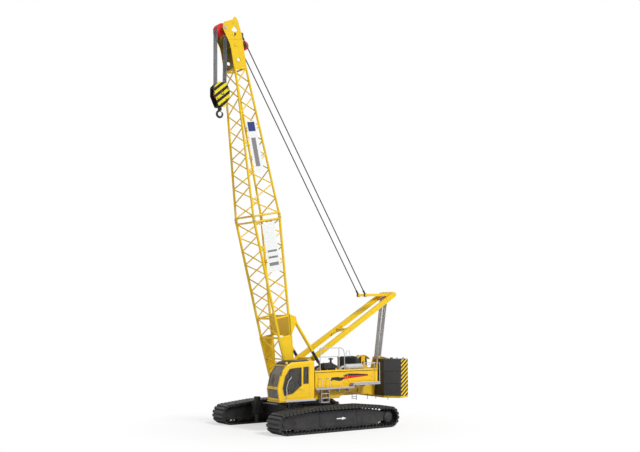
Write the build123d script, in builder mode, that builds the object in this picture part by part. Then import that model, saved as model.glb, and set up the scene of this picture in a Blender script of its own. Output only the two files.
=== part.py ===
from build123d import *

import os
from math import acos, atan2, cos, degrees, hypot, pi, radians, sin

# Crawler crane, millimetres. X points forward to the boom side, Y to the operator's left,
# Z up. The origin lies on the ground under the slewing axis.

# ------------------------------------------------------------------ driving dimensions
track_length = 5800  # over the shoes, front to rear
track_gauge = 4280  # centre to centre of the two tracks
shoe_width = 840
track_end_radius = 405  # over the shoes at the idler and at the sprocket
track_height = 945  # ground to the top of the upper run
upper_flat = 2400  # flat stretch of the upper run
shoe_pitch = 172
shoe_gap = 34
shoe_thick = 60  # plate and grouser
link_thick = 58
link_width = 240
frame_width = 400  # between the side plates of a track frame
frame_plate = 40
frame_low = 200
frame_high = 790
roller_radius = 84
roller_count = 8
wheel_width = 190

carbody_length = 1500
carbody_width = 1900
carbody_low = 380
carbody_high = 930
beam_length = 350
beam_high = 850
slew_height = 1100  # top of the slewing ring
slew_radius = 760

jack_radius = 125
jack_rod_radius = 82
jack_bottom = 330
jack_pad_radius = 170
jack_y = 1300
front_jack_x = 1500
front_jack_top = 1130
jack_gap = 3  # rear jack barrels to the rear cross beam
rear_jack_x = -carbody_length / 2 + jack_radius + jack_gap
rear_jack_top = 1010

deck_low = 1165  # underside of the revolving frame
deck_high = 1220
deck_front = 2300
deck_rear = -2750
deck_right = 810  # side edge of the deck beside the boom foot
girder_inner = 380  # half the clear width between the main girders
girder_plate = 60
girder_high = 1750
girder_front = 1250
ear_plate = 30
pin_gap = 5

boom_foot_x = 1133
boom_foot_z = 2017
boom_angle = 79.6  # boom to the horizontal
boom_half_width = 700  # chord centre line, base section
base_length = 6500
base_half_depth = 610  # chord centre line at the section joint
foot_half_depth = 150
foot_leg_width = 120
foot_leg_end = 1650
plated_end = 2450
chord_radius = 52
lacing_radius = 26
frame_tube_radius = 40
top_end = 12600
top_half_width = 430
head_plate_y = 395  # inner face of a head plate
top_rear_depth = -248
top_front_depth = 250
joint_lug = 60
head_plate = 30
head_axle_s = 14200
head_axle_d = 408
guide_axle_s = 13530
guide_axle_d = -540
guide_cheek_y = 155  # inner face of a guide sheave cheek
head_sheave_radius = 240
guide_sheave_radius = 195
guide_sheave_width = 56
guide_sheave_pitch = 150
sheave_width = 46
sheave_count = 6
sheave_pitch = 56
axle_radius = 55

mast_angle = 148.6  # from the forward horizontal
mast_length = 6480
mast_foot_y = 532  # centre line of a leg at the foot
mast_peak_y = 420
mast_leg_width = 130
mast_leg_depth = 205
mast_sheave_radius = 125
mast_sheave_m = 6180  # along the mast
luffing_parts = 6
luffing_pitch = 42
luffing_sheave_width = 38
pendant_radius = 24
pendant_y = 250
pendant_eye = 43  # half the thickness of an end socket
pendant_s = 13944  # along the boom
pendant_d = -379
link_plate = 16  # plates on both sides of a pendant socket

cab_rear = 630
cab_inner_y = 802
cab_outer_y = 1652
cab_wall = 48
cab_low = deck_high
glass_thick = 8
door_gap = 6

winch_places = {  # x, z, radius over the flanges
    "main_drum": (60, 2080, 310),
    "auxiliary_drum": (-950, 2080, 310),
    "luffing_drum": (-2700, 2480, 265),
}
drum_radius = 190
shaft_radius = 60

hood_front = 400
hood_inner_y = 620
hood_outer_y = 1350
hood_high = 2280
hood_rise_front = -800
hood_rise_rear = -2200
hood_step = 1700
sheet = 40

weight_inner_y = 460
weight_high = 2650
weight_step = 2150  # top of the part near the middle
tray_low = 1030
tray_high = 1110

block_drop = 2590  # head axle to the centre of the hook block sheaves
block_half_length = 340
block_sheave_radius = 215
cheek_plate = 28
cheek_gap = 340
rope_radius = 13
groove_depth = 24
rope_inset = groove_depth - rope_radius - 0.3  # rope centre line inside the sheave rim

backstop_y = 700
backstop_s = 2280
backstop_d = -540
backstop_tube = 1590
backstop_foot_x = -320
backstop_foot_z = 2420

overlap = 1  # sinks a cutting tool past the face that it opens


# ------------------------------------------------------------------------- geometry
def boom_point(s, d, y=0.0):
    """A point s along the boom from its foot pin and d in front of its centre line."""
    a = radians(boom_angle)
    return Vector(boom_foot_x + s * cos(a) + d * sin(a), y, boom_foot_z + s * sin(a) - d * cos(a))


def mast_point(m, d, y=0.0):
    """A point m along the mast from its foot pin and d above its centre line."""
    a = radians(mast_angle)
    return Vector(boom_foot_x + m * cos(a) + d * sin(a), y, boom_foot_z + m * sin(a) - d * cos(a))


def side_plane(y):
    """A drawing plane with X to the right and Z up; it extrudes towards the right side, -Y."""
    return Plane(origin=(0, y, 0), x_dir=(1, 0, 0), z_dir=(0, -1, 0))


def slab(points, y_low, y_high, mode=Mode.ADD):
    """A flat piece whose X-Z outline is given, between two Y values."""
    with BuildSketch(side_plane(y_high)) as outline:
        with BuildLine():
            Polyline(*[(p.X, p.Z) if isinstance(p, Vector) else p for p in points], close=True)
        make_face()
    return extrude(outline.sketch, amount=y_high - y_low, mode=mode)


def block(x_low, x_high, y_low, y_high, z_low, z_high, mode=Mode.ADD):
    """A box given by its limits."""
    middle = ((x_low + x_high) / 2, (y_low + y_high) / 2, (z_low + z_high) / 2)
    with Locations(middle):
        made = Box(x_high - x_low, y_high - y_low, z_high - z_low, mode=mode)
    return made


def rod(start, end, radius, mode=Mode.ADD):
    """A round bar between two points."""
    start, end = Vector(start), Vector(end)
    with BuildSketch(Plane(origin=start, z_dir=end - start)) as section:
        Circle(radius)
    return extrude(section.sketch, amount=(end - start).length, mode=mode)


def cross_rod(x, z, y_low, y_high, radius, mode=Mode.ADD):
    """A round bar along Y."""
    return rod((x, y_low, z), (x, y_high, z), radius, mode)


def export(builder, name):
    builder.part.label = name
    export_step(builder.part, f"parts/{name}.step")


# --------------------------------------------------------------------------- tracks
def track_path():
    """The stretches of the outer track line, as (kind, length, data), from the lower rear."""
    centre = track_length / 2 - track_end_radius
    rise = track_height - track_end_radius
    run = centre - upper_flat / 2
    reach = hypot(run, rise)
    leave = atan2(rise, -run) - acos(track_end_radius / reach)
    slope = (reach**2 - track_end_radius**2) ** 0.5
    turn = leave + pi / 2
    return centre, leave, slope, turn


def track_point(distance, depth):
    """The point at a distance along the track's outer line and a depth inside it."""
    centre, leave, slope, turn = track_path()
    r = track_end_radius
    stretches = [2 * centre, r * turn, slope, upper_flat, slope, r * turn]
    at = distance % sum(stretches)
    index = 0
    while at > stretches[index]:
        at -= stretches[index]
        index += 1
    if index == 0:
        return -centre + at, depth
    if index == 1:
        angle = at / r - pi / 2
        return centre + (r - depth) * cos(angle), r + (r - depth) * sin(angle)
    if index == 2:
        x = centre + (r - depth) * cos(leave) - at * sin(leave)
        return x, r + (r - depth) * sin(leave) + at * cos(leave)
    if index == 3:
        return upper_flat / 2 - at, track_height - depth
    if index == 4:
        x = -upper_flat / 2 - at * sin(leave) - depth * cos(leave) * -1
        return x, track_height + -at * cos(leave) - depth * sin(leave)
    angle = pi - leave + at / r
    return -centre + (r - depth) * cos(angle), r + (r - depth) * sin(angle)


def track_total():
    centre, leave, slope, turn = track_path()
    return 2 * centre + 2 * slope + upper_flat + 2 * track_end_radius * turn


def loop_band(y_middle, width, outer, depth_inner):
    """A closed band along the track line between an outer outline and an inner depth."""
    count = round(track_total() / shoe_pitch)
    pitch = track_total() / count
    inner = []
    for index in range(count):
        for share in (0.0, 0.5):
            inner.append(track_point((index + share) * pitch, depth_inner))
    slab(outer, y_middle - width / 2, y_middle + width / 2)
    slab(inner, y_middle - width / 2, y_middle + width / 2, Mode.SUBTRACT)


def track(side):
    """One track: a closed loop of links with the shoes in its outline."""
    y = side * track_gauge / 2
    count = round(track_total() / shoe_pitch)
    pitch = track_total() / count
    shoes = []
    for index in range(count):
        start = index * pitch + shoe_gap / 2
        end = (index + 1) * pitch - shoe_gap / 2
        shoes.append(track_point(start, shoe_thick * 0.7))
        shoes.append(track_point(start, 0))
        shoes.append(track_point(end, 0))
        shoes.append(track_point(end, shoe_thick * 0.7))
    chain = []
    for index in range(count):
        for share in (0.0, 0.5):
            chain.append(track_point((index + share) * pitch, shoe_thick))
    with BuildPart() as links:
        loop_band(y, link_width, chain, shoe_thick + link_thick)
    with BuildPart() as made:
        loop_band(y, shoe_width, shoes, shoe_thick)
        add(links.part)
    return made


wheel_z = track_end_radius
wheel_x = track_length / 2 - track_end_radius
wheel_radius = track_end_radius - shoe_thick - link_thick - 4
roller_z = shoe_thick + link_thick + roller_radius + 0.5
carrier_z = track_height - shoe_thick - link_thick - roller_radius - 4
roller_span = 3900
carrier_x = (900, -900)


def track_frame(side):
    """A side frame: a box beam with a deep plate on each side of the wheels and rollers."""
    y = side * track_gauge / 2
    half = frame_width / 2
    front = wheel_x + 245
    rear = -wheel_x + 215
    outline = [
        (front, frame_low + 10),
        (front, 590),
        (2210, 715),
        (1250, frame_high),
        (-1250, frame_high),
        (-1950, 720),
        (rear, 560),
        (rear, 300),
        (-1900, frame_low),
        (front - 200, frame_low),
    ]
    beam_low = roller_z + roller_radius + 12
    beam_top = carrier_z - roller_radius - 12
    with BuildPart() as made:
        block(-1950, 2050, y - half, y + half, beam_low, beam_top)
        for low in (y - half - frame_plate, y + half):
            slab(outline, low, low + frame_plate)
        for low in (y - half - frame_plate, y + half):
            cross_rod(-wheel_x + 40, wheel_z, low, low + frame_plate, 232)
    return made


def wheels(x):
    """A pair of end wheels, one for each track."""
    with BuildPart() as made:
        for side in (1, -1):
            y = side * track_gauge / 2
            cross_rod(x, wheel_z, y - wheel_width / 2, y + wheel_width / 2, wheel_radius)
            cross_rod(x, wheel_z, y - frame_width / 2, y + frame_width / 2, 90)
    return made


def rollers():
    """Lower track rollers and upper carrier rollers of both sides on their axles."""
    with BuildPart() as made:
        for side in (1, -1):
            y = side * track_gauge / 2
            spots = [
                (roller_span / 2 - roller_span * i / (roller_count - 1), roller_z)
                for i in range(roller_count)
            ]
            spots += [(x, carrier_z) for x in carrier_x]
            for x, z in spots:
                cross_rod(x, z, y - link_width / 2, y + link_width / 2, roller_radius)
                cross_rod(x, z, y - frame_width / 2, y + frame_width / 2, 30)
    return made


# ------------------------------------------------------------------------ undercarriage
def carbody():
    """The centre box with a front and a rear cross beam out to the side frames."""
    half = carbody_length / 2
    frame_face = track_gauge / 2 - frame_width / 2 - frame_plate
    track_face = track_gauge / 2 - shoe_width / 2
    with BuildPart() as made:
        block(-half, half, -carbody_width / 2, carbody_width / 2, carbody_low, carbody_high)
        for x in (half, -half - beam_length):
            block(x, x + beam_length, -track_face + 40, track_face - 40, carbody_low, beam_high)
            block(x, x + beam_length, -frame_face, frame_face, carbody_low, 760)
        with Locations((0, 0, carbody_high - 20)):
            Cylinder(slew_radius + 60, 40)
    return made


def slewing_ring():
    with BuildPart() as made:
        with Locations((0, 0, (carbody_high + slew_height) / 2)):
            Cylinder(slew_radius, slew_height - carbody_high)
            Cylinder(slew_radius - 160, slew_height - carbody_high, mode=Mode.SUBTRACT)
    return made


jack_places = {
    "front_left": (front_jack_x, jack_y, front_jack_top),
    "front_right": (front_jack_x, -jack_y, front_jack_top),
    "rear_left": (rear_jack_x, jack_y, rear_jack_top),
    "rear_right": (rear_jack_x, -jack_y, rear_jack_top),
}


def jack_housings():
    """Four upright jack barrels on brackets at the cross beams."""
    beam_front = carbody_length / 2 + beam_length
    with BuildPart() as made:
        for x, y, top in jack_places.values():
            root = beam_front if x > 0 else -carbody_length / 2
            block(min(root, x), max(root, x), y - 70, y + 70, 690, beam_high)
            rod((x, y, jack_bottom), (x, y, top), jack_radius)
            rod((x, y, top - 60), (x, y, top), jack_radius + 14)
            rod(
                (x, y, jack_bottom - overlap),
                (x, y, top - 50),
                jack_rod_radius + 0.5,
                Mode.SUBTRACT,
            )
    return made


def jack_leg(x, y, top):
    """A jack's rod with its round foot plate."""
    with BuildPart() as made:
        rod((x, y, 120), (x, y, top - 51), jack_rod_radius)
        rod((x, y, 80), (x, y, 125), jack_pad_radius)
    return made


# ------------------------------------------------------------------------ revolving frame
leg_inner = boom_half_width - foot_leg_width / 2
leg_outer = boom_half_width + foot_leg_width / 2


guard_top = 2800
guard_edge = 2620
guard_radius = 436
guard_outer_y = girder_inner + girder_plate + 20
guard_width = 170


def drum_guard():
    """Arched guard plate over the left bearing of the luffing drum."""
    x = winch_places["luffing_drum"][0]
    z = guard_top + 10 - guard_radius
    with BuildSketch(side_plane(guard_outer_y)) as arch:
        with Locations((x, z)):
            Circle(guard_radius)
            Circle(guard_radius - 20, mode=Mode.SUBTRACT)
        with Locations((x, guard_edge - guard_radius)):
            Rectangle(2 * guard_radius + overlap, 2 * guard_radius, mode=Mode.SUBTRACT)
    extrude(arch.sketch, amount=guard_width)


def main_frame():
    """Turntable plate, girders, decks, ears of the boom foot and bearings of the drums."""
    girder = [
        (girder_front, deck_low),
        (girder_front, 1560),
        (girder_front - 120, girder_high),
        (-3300, girder_high),
        (-4080, 1640),
        (-4080, tray_high),
        (-3150, tray_high),
        (-2900, deck_low),
    ]
    ear = [
        (700, deck_high - 10),
        (1180, deck_high - 10),
        (1180, 1700),
        (boom_foot_x + 115, boom_foot_z),
        (boom_foot_x + 70, boom_foot_z + 100),
        (boom_foot_x - 70, boom_foot_z + 100),
        (boom_foot_x - 165, boom_foot_z),
    ]
    with BuildPart() as made:
        with Locations((0, 0, (slew_height + deck_high) / 2)):
            Cylinder(slew_radius + 20, deck_high - slew_height)
        block(hood_rise_front, deck_front, -hood_outer_y, cab_outer_y, deck_low, deck_high)
        block(720, deck_front + overlap, -hood_outer_y, -deck_right, deck_low, deck_high,
              Mode.SUBTRACT)
        block(girder_front, deck_front + overlap, -deck_right, cab_inner_y - 10, deck_low, deck_high,
              Mode.SUBTRACT)
        block(hood_rise_front - overlap, 560, hood_outer_y, cab_outer_y, deck_low, deck_high,
              Mode.SUBTRACT)
        block(-2900, hood_rise_front, -girder_inner, girder_inner, deck_low, deck_high)
        for side in (1, -1):
            inner = side * girder_inner
            outer = side * (girder_inner + girder_plate)
            slab(girder, min(inner, outer), max(inner, outer))
            for low in (leg_inner - pin_gap - ear_plate, leg_outer + pin_gap):
                a, b = side * low, side * (low + ear_plate)
                slab(ear, min(a, b), max(a, b))
            a, b = side * (girder_inner + girder_plate - 10), side * leg_outer
            block(700, 760, min(a, b), max(a, b), deck_high, 1700)
        block(-4080, -3960, -girder_inner - 5, girder_inner + 5, tray_high, 1640)
        block(-2960, -2880, -girder_inner - 5, girder_inner + 5, deck_high - 10, girder_high)
        for name, (x, z, flange) in winch_places.items():
            for side in (1, -1):
                bearing = [(-330, girder_high - 20), (-130, z + 120)]
                if name == "luffing_drum":
                    top = guard_top if side > 0 else z + 150
                    bearing = [(-400, girder_high - 20), (-340, 2210), (-100, 2430), (-100, top)]
                bearing = [(x + reach, height) for reach, height in bearing]
                bearing += [(2 * x - reach, height) for reach, height in reversed(bearing)]
                a, b = side * girder_inner, side * (girder_inner + girder_plate - 5)
                slab(bearing, min(a, b), max(a, b))
            cross_rod(x, z, -500, 500, shaft_radius + 0.5, Mode.SUBTRACT)
        drum_guard()
        pin_outer = leg_outer + pin_gap + ear_plate
        cross_rod(boom_foot_x, boom_foot_z, -pin_outer - 2, pin_outer + 2, axle_radius)
        cross_rod(
            boom_foot_x,
            boom_foot_z,
            -mast_foot_y + mast_leg_width / 2 + 20,
            mast_foot_y - mast_leg_width / 2 - 20,
            axle_radius + overlap,
            Mode.SUBTRACT,
        )
    return made


def drum(x, z, flange):
    """A rope drum with two flanges and its shaft."""
    half = girder_inner - 14
    with BuildPart() as made:
        cross_rod(x, z, -half, half, drum_radius)
        for low in (-half, half - 26):
            cross_rod(x, z, low, low + 26, flange)
        cross_rod(x, z, -girder_inner - 50, girder_inner + 50, shaft_radius)
    return made


# --------------------------------------------------------------------------- housings
door_table = {  # x of the hinge edge, x of the free edge, lower edge, upper edge
    "front": (300, -1080, 1640, 2220),
    "rear": (-1180, -2580, 1800, 2220),
}


def hood(side):
    """A hollow engine housing with two door openings and the seat of the backstop."""
    inner, outer = side * hood_inner_y, side * hood_outer_y
    outline = [
        (hood_front, deck_high),
        (hood_rise_front, deck_high),
        (hood_rise_rear, hood_step),
        (deck_rear, hood_step),
        (deck_rear, hood_high),
        (hood_front, hood_high),
    ]
    hollow = [
        (hood_front - sheet, deck_high + sheet),
        (hood_rise_front + 15, deck_high + sheet),
        (hood_rise_rear + 15, hood_step + sheet),
        (deck_rear + sheet, hood_step + sheet),
        (deck_rear + sheet, hood_high - sheet),
        (hood_front - sheet, hood_high - sheet),
    ]
    low, high = min(inner, outer), max(inner, outer)
    with BuildPart() as made:
        slab(outline, low, high)
        fillet(
            made.edges().filter_by(Axis.X).group_by(Axis.Z)[-1].sort_by(Axis.Y)[-1 if side > 0 else 0],
            60,
        )
        slab(hollow, low + sheet, high - sheet, Mode.SUBTRACT)
        for x_hinge, x_free, z_low, z_high in door_table.values():
            a, b = side * (hood_outer_y - sheet - overlap), side * (hood_outer_y + overlap)
            block(x_free, x_hinge, min(a, b), max(a, b), z_low, z_high, Mode.SUBTRACT)
        pin, along, length = backstop_line()
        foot = pin + along * (length + 0.3)
        across = Vector(-along.Z, 0, along.X)
        front, rear = foot + across * 75, foot - across * 75
        seat = [front, rear, (rear.X - 20, hood_high - 20), (front.X + 20, hood_high - 20)]
        slab(seat, side * backstop_y - 75, side * backstop_y + 75)
    return made


def hood_door(side, row):
    """A plain door leaf with a recessed handle plate."""
    x_hinge, x_free, z_low, z_high = row
    a, b = side * (hood_outer_y - 30), side * hood_outer_y
    with BuildPart() as made:
        block(
            x_free + door_gap,
            x_hinge - 0.5,
            min(a, b),
            max(a, b),
            z_low + door_gap,
            z_high - door_gap,
        )
        a, b = side * (hood_outer_y - overlap), side * (hood_outer_y + 22)
        block(x_free + 60, x_free + 190, min(a, b), max(a, b), 1990, 2030)
    return made


walk_outer_y = 1620


def walkways():
    """Footways along both sides that step up at the rear, with a ladder on the left."""
    with BuildPart() as made:
        for side in (1, -1):
            a, b = side * hood_outer_y, side * walk_outer_y
            low, high = min(a, b), max(a, b)
            block(-1300, 540, low, high, 1555, 1600)
            block(-1345, -1300, low, high, 1555, 1750)
            block(deck_rear + 60, -1345, low, high, 1705, 1750)
            a, b = side * (walk_outer_y - 12), side * walk_outer_y
            block(deck_rear + 60, -1345, min(a, b), max(a, b), 1660, 1706)
        for z in (1035, 1200, 1380):
            block(-150, 250, 1400, 1560, z, z + 24)
        for x in (-150, 226):
            block(x, x + 24, 1400, 1560, 1035, 1556)
    return made


rail_radius = 17


def handrails():
    """A rail on the left housing roof and one over the rear end of the left footway."""
    y = hood_outer_y - 100
    edge_y, walk_y = hood_outer_y - 45, walk_outer_y - 20
    rear, front, high = deck_rear + 85, -2060, 2530
    with BuildPart() as made:
        for x in (-840, 100):
            rod((x, y, hood_high), (x, y, 3180), rail_radius)
        for z in (2830, 3180):
            rod((-840 - rail_radius, y, z), (100 + rail_radius, y, z), rail_radius)
        rod((rear, walk_y, 1750), (rear, walk_y, high), rail_radius)
        rod((rear, walk_y + rail_radius, high), (rear, edge_y - rail_radius, high), rail_radius)
        rod((rear - rail_radius, edge_y, high), (front + rail_radius, edge_y, high), rail_radius)
        for x in (rear + 55, front):
            rod((x, edge_y, hood_high + 25), (x, edge_y, high), rail_radius)
            block(x - 40, x + 40, edge_y - 30, edge_y + 30, hood_high, hood_high + 25)
    return made


def engine_block():
    with BuildPart() as made:
        block(hood_rise_front + 20, 200, 700, 1230, deck_high + sheet, 2080)
    return made


def muffler():
    """Silencer box on two feet with its capped stack and its inlet bend, on the left roof."""
    with BuildPart() as made:
        slab(
            [(-220, 2350), (-220, 2550), (-600, 2570), (-860, 2450), (-860, 2350)],
            800,
            1100,
        )
        for x in (-340, -640):
            block(x - 30, x + 30, 820, 1080, hood_high, 2351)
        rod((-800, 950, hood_high), (-800, 950, 2360), 60)
        rod((-640, 950, 2500), (-640, 950, 2720), 42)
        rod((-640, 950, 2700), (-640, 950, 2735), 105)
    return made


def cooler():
    """Ribbed oil cooler box behind the silencer."""
    with BuildPart() as made:
        block(-1790, -1160, 700, 1080, hood_high, 2780)
        block(-1960, -1850, 760, 1020, hood_high, 2760)
    return made


def air_cleaner():
    with BuildPart() as made:
        rod((-1180, 1190, 2400), (-2020, 1190, 2400), 105)
        rod((-1180, 1190, 2400), (-1150, 1190, 2400), 80)
        for x in (-1360, -1850):
            block(x - 30, x + 30, 1140, 1240, hood_high, 2330)
    return made


def fuel_tank():
    """Fuel tank in front of the right housing, with its filler cap."""
    with BuildPart() as made:
        block(430, 700, -hood_outer_y, -820, deck_high, 2180)
        fillet(made.edges().filter_by(Axis.Z), 60)
        rod((565, -1090, 2179), (565, -1090, 2230), 60)
    return made


# --------------------------------------------------------------------------- rear
weight_plan = [  # half plan of a counterweight, X and distance from the centre plane
    (-3300, weight_inner_y),
    (-3300, 1080),
    (-3740, 1650),
    (-4290, 1480),
    (-4390, 1000),
    (-4430, weight_inner_y),
]


def plan_prism(points, z_low, z_high):
    with BuildSketch(Plane.XY.offset(z_low)) as outline:
        with BuildLine():
            Polyline(*points, close=True)
        make_face()
    return extrude(outline.sketch, amount=z_high - z_low)


corner_plan = [  # half plan of the tall corner part
    (-3300, 680),
    (-3300, 1080),
    (-3740, 1650),
    (-4290, 1480),
    (-4290, 1380),
    (-3720, 680),
]


def counterweight(side):
    """Cast block, tall at its corner and stepped down to the middle, with a lifting lug."""
    with BuildPart() as made:
        plan_prism([(x, side * y) for x, y in weight_plan], tray_high, weight_step)
        plan_prism([(x, side * y) for x, y in corner_plan], tray_high, weight_high)
        block(-3700, -3580, side * 1180 - 20, side * 1180 + 20, weight_high - 1, weight_high + 60)
    return made


def counterweight_tray():
    """The plate under the blocks, hung from the tail of the girders."""
    points = [(x, y) for x, y in weight_plan[1:-1]]
    points += [(-4430, 0)]
    points += [(x, -y) for x, y in reversed(weight_plan[1:-1])]
    with BuildPart() as made:
        plan_prism(points, tray_low, tray_high)
    return made


def hazard_plates():
    """Striped corner plates on the slanting rear sides of the counterweight."""
    with BuildPart() as made:
        for side in (1, -1):
            (x1, y1), (x2, y2) = weight_plan[2], weight_plan[3]
            length = hypot(x2 - x1, y2 - y1)
            ux, uy = (x2 - x1) / length, (y2 - y1) / length
            nx, ny = uy, -ux
            points = []
            for along, out in ((40, 0), (length - 40, 0), (length - 40, 18), (40, 18)):
                points.append((x1 + ux * along + nx * out, side * (y1 + uy * along + ny * out)))
            plan_prism(points, tray_high, weight_high - 10)
    return made


bridle_x = -3800
bridle_z = 2560
bridle_sheave_radius = 105
luffing_axle_radius = 45
luffing_bore = luffing_axle_radius + 0.5


gantry_inner = 145  # half the clear width between the cheeks of the gantry
gantry_plate = 40
gantry_foot = 1690  # top of the cross box that carries the cheeks


def rear_gantry():
    """Two cheeks on a cross box, with the axle of the lower sheave nest and its guards."""
    crest = [(-3700, bridle_z + 85), (-3830, bridle_z + 140), (-4250, bridle_z + 45)]
    cheek = [
        (-3420, gantry_foot - overlap),
        (-3660, bridle_z + 20),
        *crest,
        (-4250, bridle_z + 20),
        (-3900, bridle_z - 60),
        (-3860, gantry_foot - overlap),
    ]
    flange = crest + [(x, z + 22) for x, z in reversed(crest)]
    outer = gantry_inner + gantry_plate
    with BuildPart() as made:
        block(-3900, -3400, -girder_inner, girder_inner, gantry_foot - 90, gantry_foot)
        for side in (1, -1):
            a, b = side * gantry_inner, side * outer
            slab(cheek, min(a, b), max(a, b))
            a, b = side * (gantry_inner - 10), side * (outer + 50)
            slab(flange, min(a, b), max(a, b))
        cross_rod(bridle_x, bridle_z, -outer, outer, luffing_axle_radius)
        block(-3980, -3950, -gantry_inner - 5, gantry_inner + 5, bridle_z - 30, bridle_z + 30)
    return made


def sheaves(x, z, radius, count, pitch, width, bore):
    """A row of sheaves on one axle line, each with a groove that fits the rope."""
    with BuildPart() as made:
        for index in range(count):
            y = (index - (count - 1) / 2) * pitch
            cross_rod(x, z, y - width / 2, y + width / 2, radius)
            with BuildSketch(Plane(origin=(x, y, z), x_dir=(1, 0, 0), z_dir=(0, 1, 0))):
                Circle(radius + 20)
                Circle(radius - groove_depth, mode=Mode.SUBTRACT)
            extrude(amount=rope_radius + 1, both=True, mode=Mode.SUBTRACT)
        cross_rod(x, z, -count * pitch, count * pitch, bore, Mode.SUBTRACT)
    return made


# ------------------------------------------------------------------------------ cab
cab_outline = [
    (cab_rear, cab_low),
    (2270, cab_low),
    (2345, 1700),
    (2210, 2230),
    (1930, 2600),
    (1700, 2690),
    (cab_rear + 60, 2720),
    (cab_rear, 2660),
]
cab_hollow = [
    (cab_rear + cab_wall, cab_low + cab_wall),
    (2270 - cab_wall, cab_low + cab_wall),
    (2345 - cab_wall, 1700),
    (2210 - cab_wall, 2215),
    (1905, 2560),
    (1690, 2690 - cab_wall),
    (cab_rear + cab_wall, 2720 - cab_wall - 10),
]
door_outline = [(880, 1300), (2120, 1300), (2215, 1700), (2095, 2180), (1850, 2510), (880, 2590)]
front_window = [(1350, 1700), (1650, 1480), (2060, 1400), (2140, 1700), (2025, 2150), (1810, 2440),
                (1350, 2480)]
rear_window = [(960, 1830), (1270, 1830), (1270, 2485), (960, 2500)]
right_window = [(760, 1700), (2000, 1560), (2160, 1720), (2050, 2150), (1850, 2450), (760, 2520)]


screen_side = 75  # pillar beside the front glass


def pane(points, y_low, y_high, radius, mode):
    with BuildSketch(side_plane(y_high)) as outline:
        with BuildLine():
            Polyline(*points, close=True)
        make_face()
        fillet(outline.vertices(), radius)
    return extrude(outline.sketch, amount=y_high - y_low, mode=mode)


def cab_shell():
    """The welded cab: floor, pillars, walls and roof rim, with its windows cut."""
    with BuildPart() as made:
        slab(cab_outline, cab_inner_y, cab_outer_y)
        roof_edges = made.edges().filter_by(
            lambda e: e.center().Z > 1750 and abs((e @ 0).Y - (e @ 1).Y) < 1
        )
        fillet(roof_edges, 55)
        slab(cab_hollow, cab_inner_y + cab_wall, cab_outer_y - cab_wall, Mode.SUBTRACT)
        slab(door_outline, cab_outer_y - cab_wall - overlap, cab_outer_y + overlap, Mode.SUBTRACT)
        pane(right_window, cab_inner_y - overlap, cab_inner_y + cab_wall + overlap, 50,
             Mode.SUBTRACT)
        low, high = cab_inner_y + screen_side, cab_outer_y - screen_side
        slab([(2450, 1760), (2330, 2290), (2066, 2586), (1906, 2466), (2100, 2180), (2200, 1760)],
             low, high, Mode.SUBTRACT)
        block(2180, 2400, low, high, 1330, 1640, Mode.SUBTRACT)
        block(cab_rear - overlap, cab_rear + cab_wall + overlap, low + 30, high - 30, 1800, 2520,
              Mode.SUBTRACT)
        block(900, 1640, low + 20, high - 20, 2600, 2800, Mode.SUBTRACT)
    return made


def cab_roof():
    """Dark roof panel that closes the roof rim."""
    low, high = cab_inner_y + screen_side + 20, cab_outer_y - screen_side - 20
    with BuildPart() as made:
        slab([(900, 2664), (1640, 2640), (1640, 2712), (900, 2736)], low, high)
        slab([(880, 2718), (1660, 2694), (1660, 2722), (880, 2746)], low - 40, high + 40)
    return made


def cab_glass():
    """Windscreen, lower front pane, right pane and rear pane."""
    low, high = cab_inner_y + screen_side, cab_outer_y - screen_side
    with BuildPart() as made:
        slab(
            [(2317, 1760), (2200, 2224), (1976.4, 2518.8), (1970, 2514), (2192, 2219), (2309, 1760)],
            low,
            high,
        )
        slab([(2289, 1330), (2331, 1640), (2323, 1640), (2281, 1330)], low, high)
        pane(right_window, cab_inner_y + 18, cab_inner_y + 26, 50, Mode.ADD)
        block(cab_rear + 18, cab_rear + 26, low + 30, high - 30, 1800, 2520)
    return made


def shrink(points, gap):
    """Move each corner of a convex outline inwards so that every side steps in by gap."""
    count = len(points)
    area = sum(
        points[i][0] * points[(i + 1) % count][1] - points[(i + 1) % count][0] * points[i][1]
        for i in range(count)
    )
    turn = 1 if area > 0 else -1
    made = []
    for i in range(count):
        (x0, z0), (x1, z1), (x2, z2) = points[i - 1], points[i], points[(i + 1) % count]
        a, b = hypot(x1 - x0, z1 - z0), hypot(x2 - x1, z2 - z1)
        n1 = (-turn * (z1 - z0) / a, turn * (x1 - x0) / a)
        n2 = (-turn * (z2 - z1) / b, turn * (x2 - x1) / b)
        share = gap / (1 + n1[0] * n2[0] + n1[1] * n2[1])
        made.append((x1 + share * (n1[0] + n2[0]), z1 + share * (n1[1] + n2[1])))
    return made


def cab_door():
    """Door leaf in the left wall with a large front window and a rear quarter window."""
    with BuildPart() as made:
        slab(shrink(door_outline, door_gap), cab_outer_y - 38, cab_outer_y)
        for z in (1420, 2380):
            block(880.4, 900, cab_outer_y - 30, cab_outer_y, z, z + 90)
        pane(front_window, cab_outer_y - 60, cab_outer_y + overlap, 40, Mode.SUBTRACT)
        pane(rear_window, cab_outer_y - 60, cab_outer_y + overlap, 30, Mode.SUBTRACT)
        block(1180, 1310, cab_outer_y - overlap, cab_outer_y + 30, 1620, 1650)
    return made


def door_glass():
    with BuildPart() as made:
        pane(front_window, cab_outer_y - 24, cab_outer_y - 24 + glass_thick, 40, Mode.ADD)
        pane(rear_window, cab_outer_y - 24, cab_outer_y - 24 + glass_thick, 30, Mode.ADD)
    return made


def seat():
    """Operator's seat: pedestal, cushion, back and head rest."""
    middle = (cab_inner_y + cab_outer_y) / 2
    floor = cab_low + cab_wall
    with BuildPart() as made:
        block(1050, 1350, middle - 170, middle + 170, floor, floor + 260)
        block(960, 1480, middle - 240, middle + 240, floor + 260, floor + 400)
        slab([(960, floor + 380), (1100, floor + 380), (1010, 2180), (900, 2180)],
             middle - 220, middle + 220)
        slab([(905, 2170), (985, 2170), (975, 2380), (905, 2380)], middle - 120, middle + 120)
    return made


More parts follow.
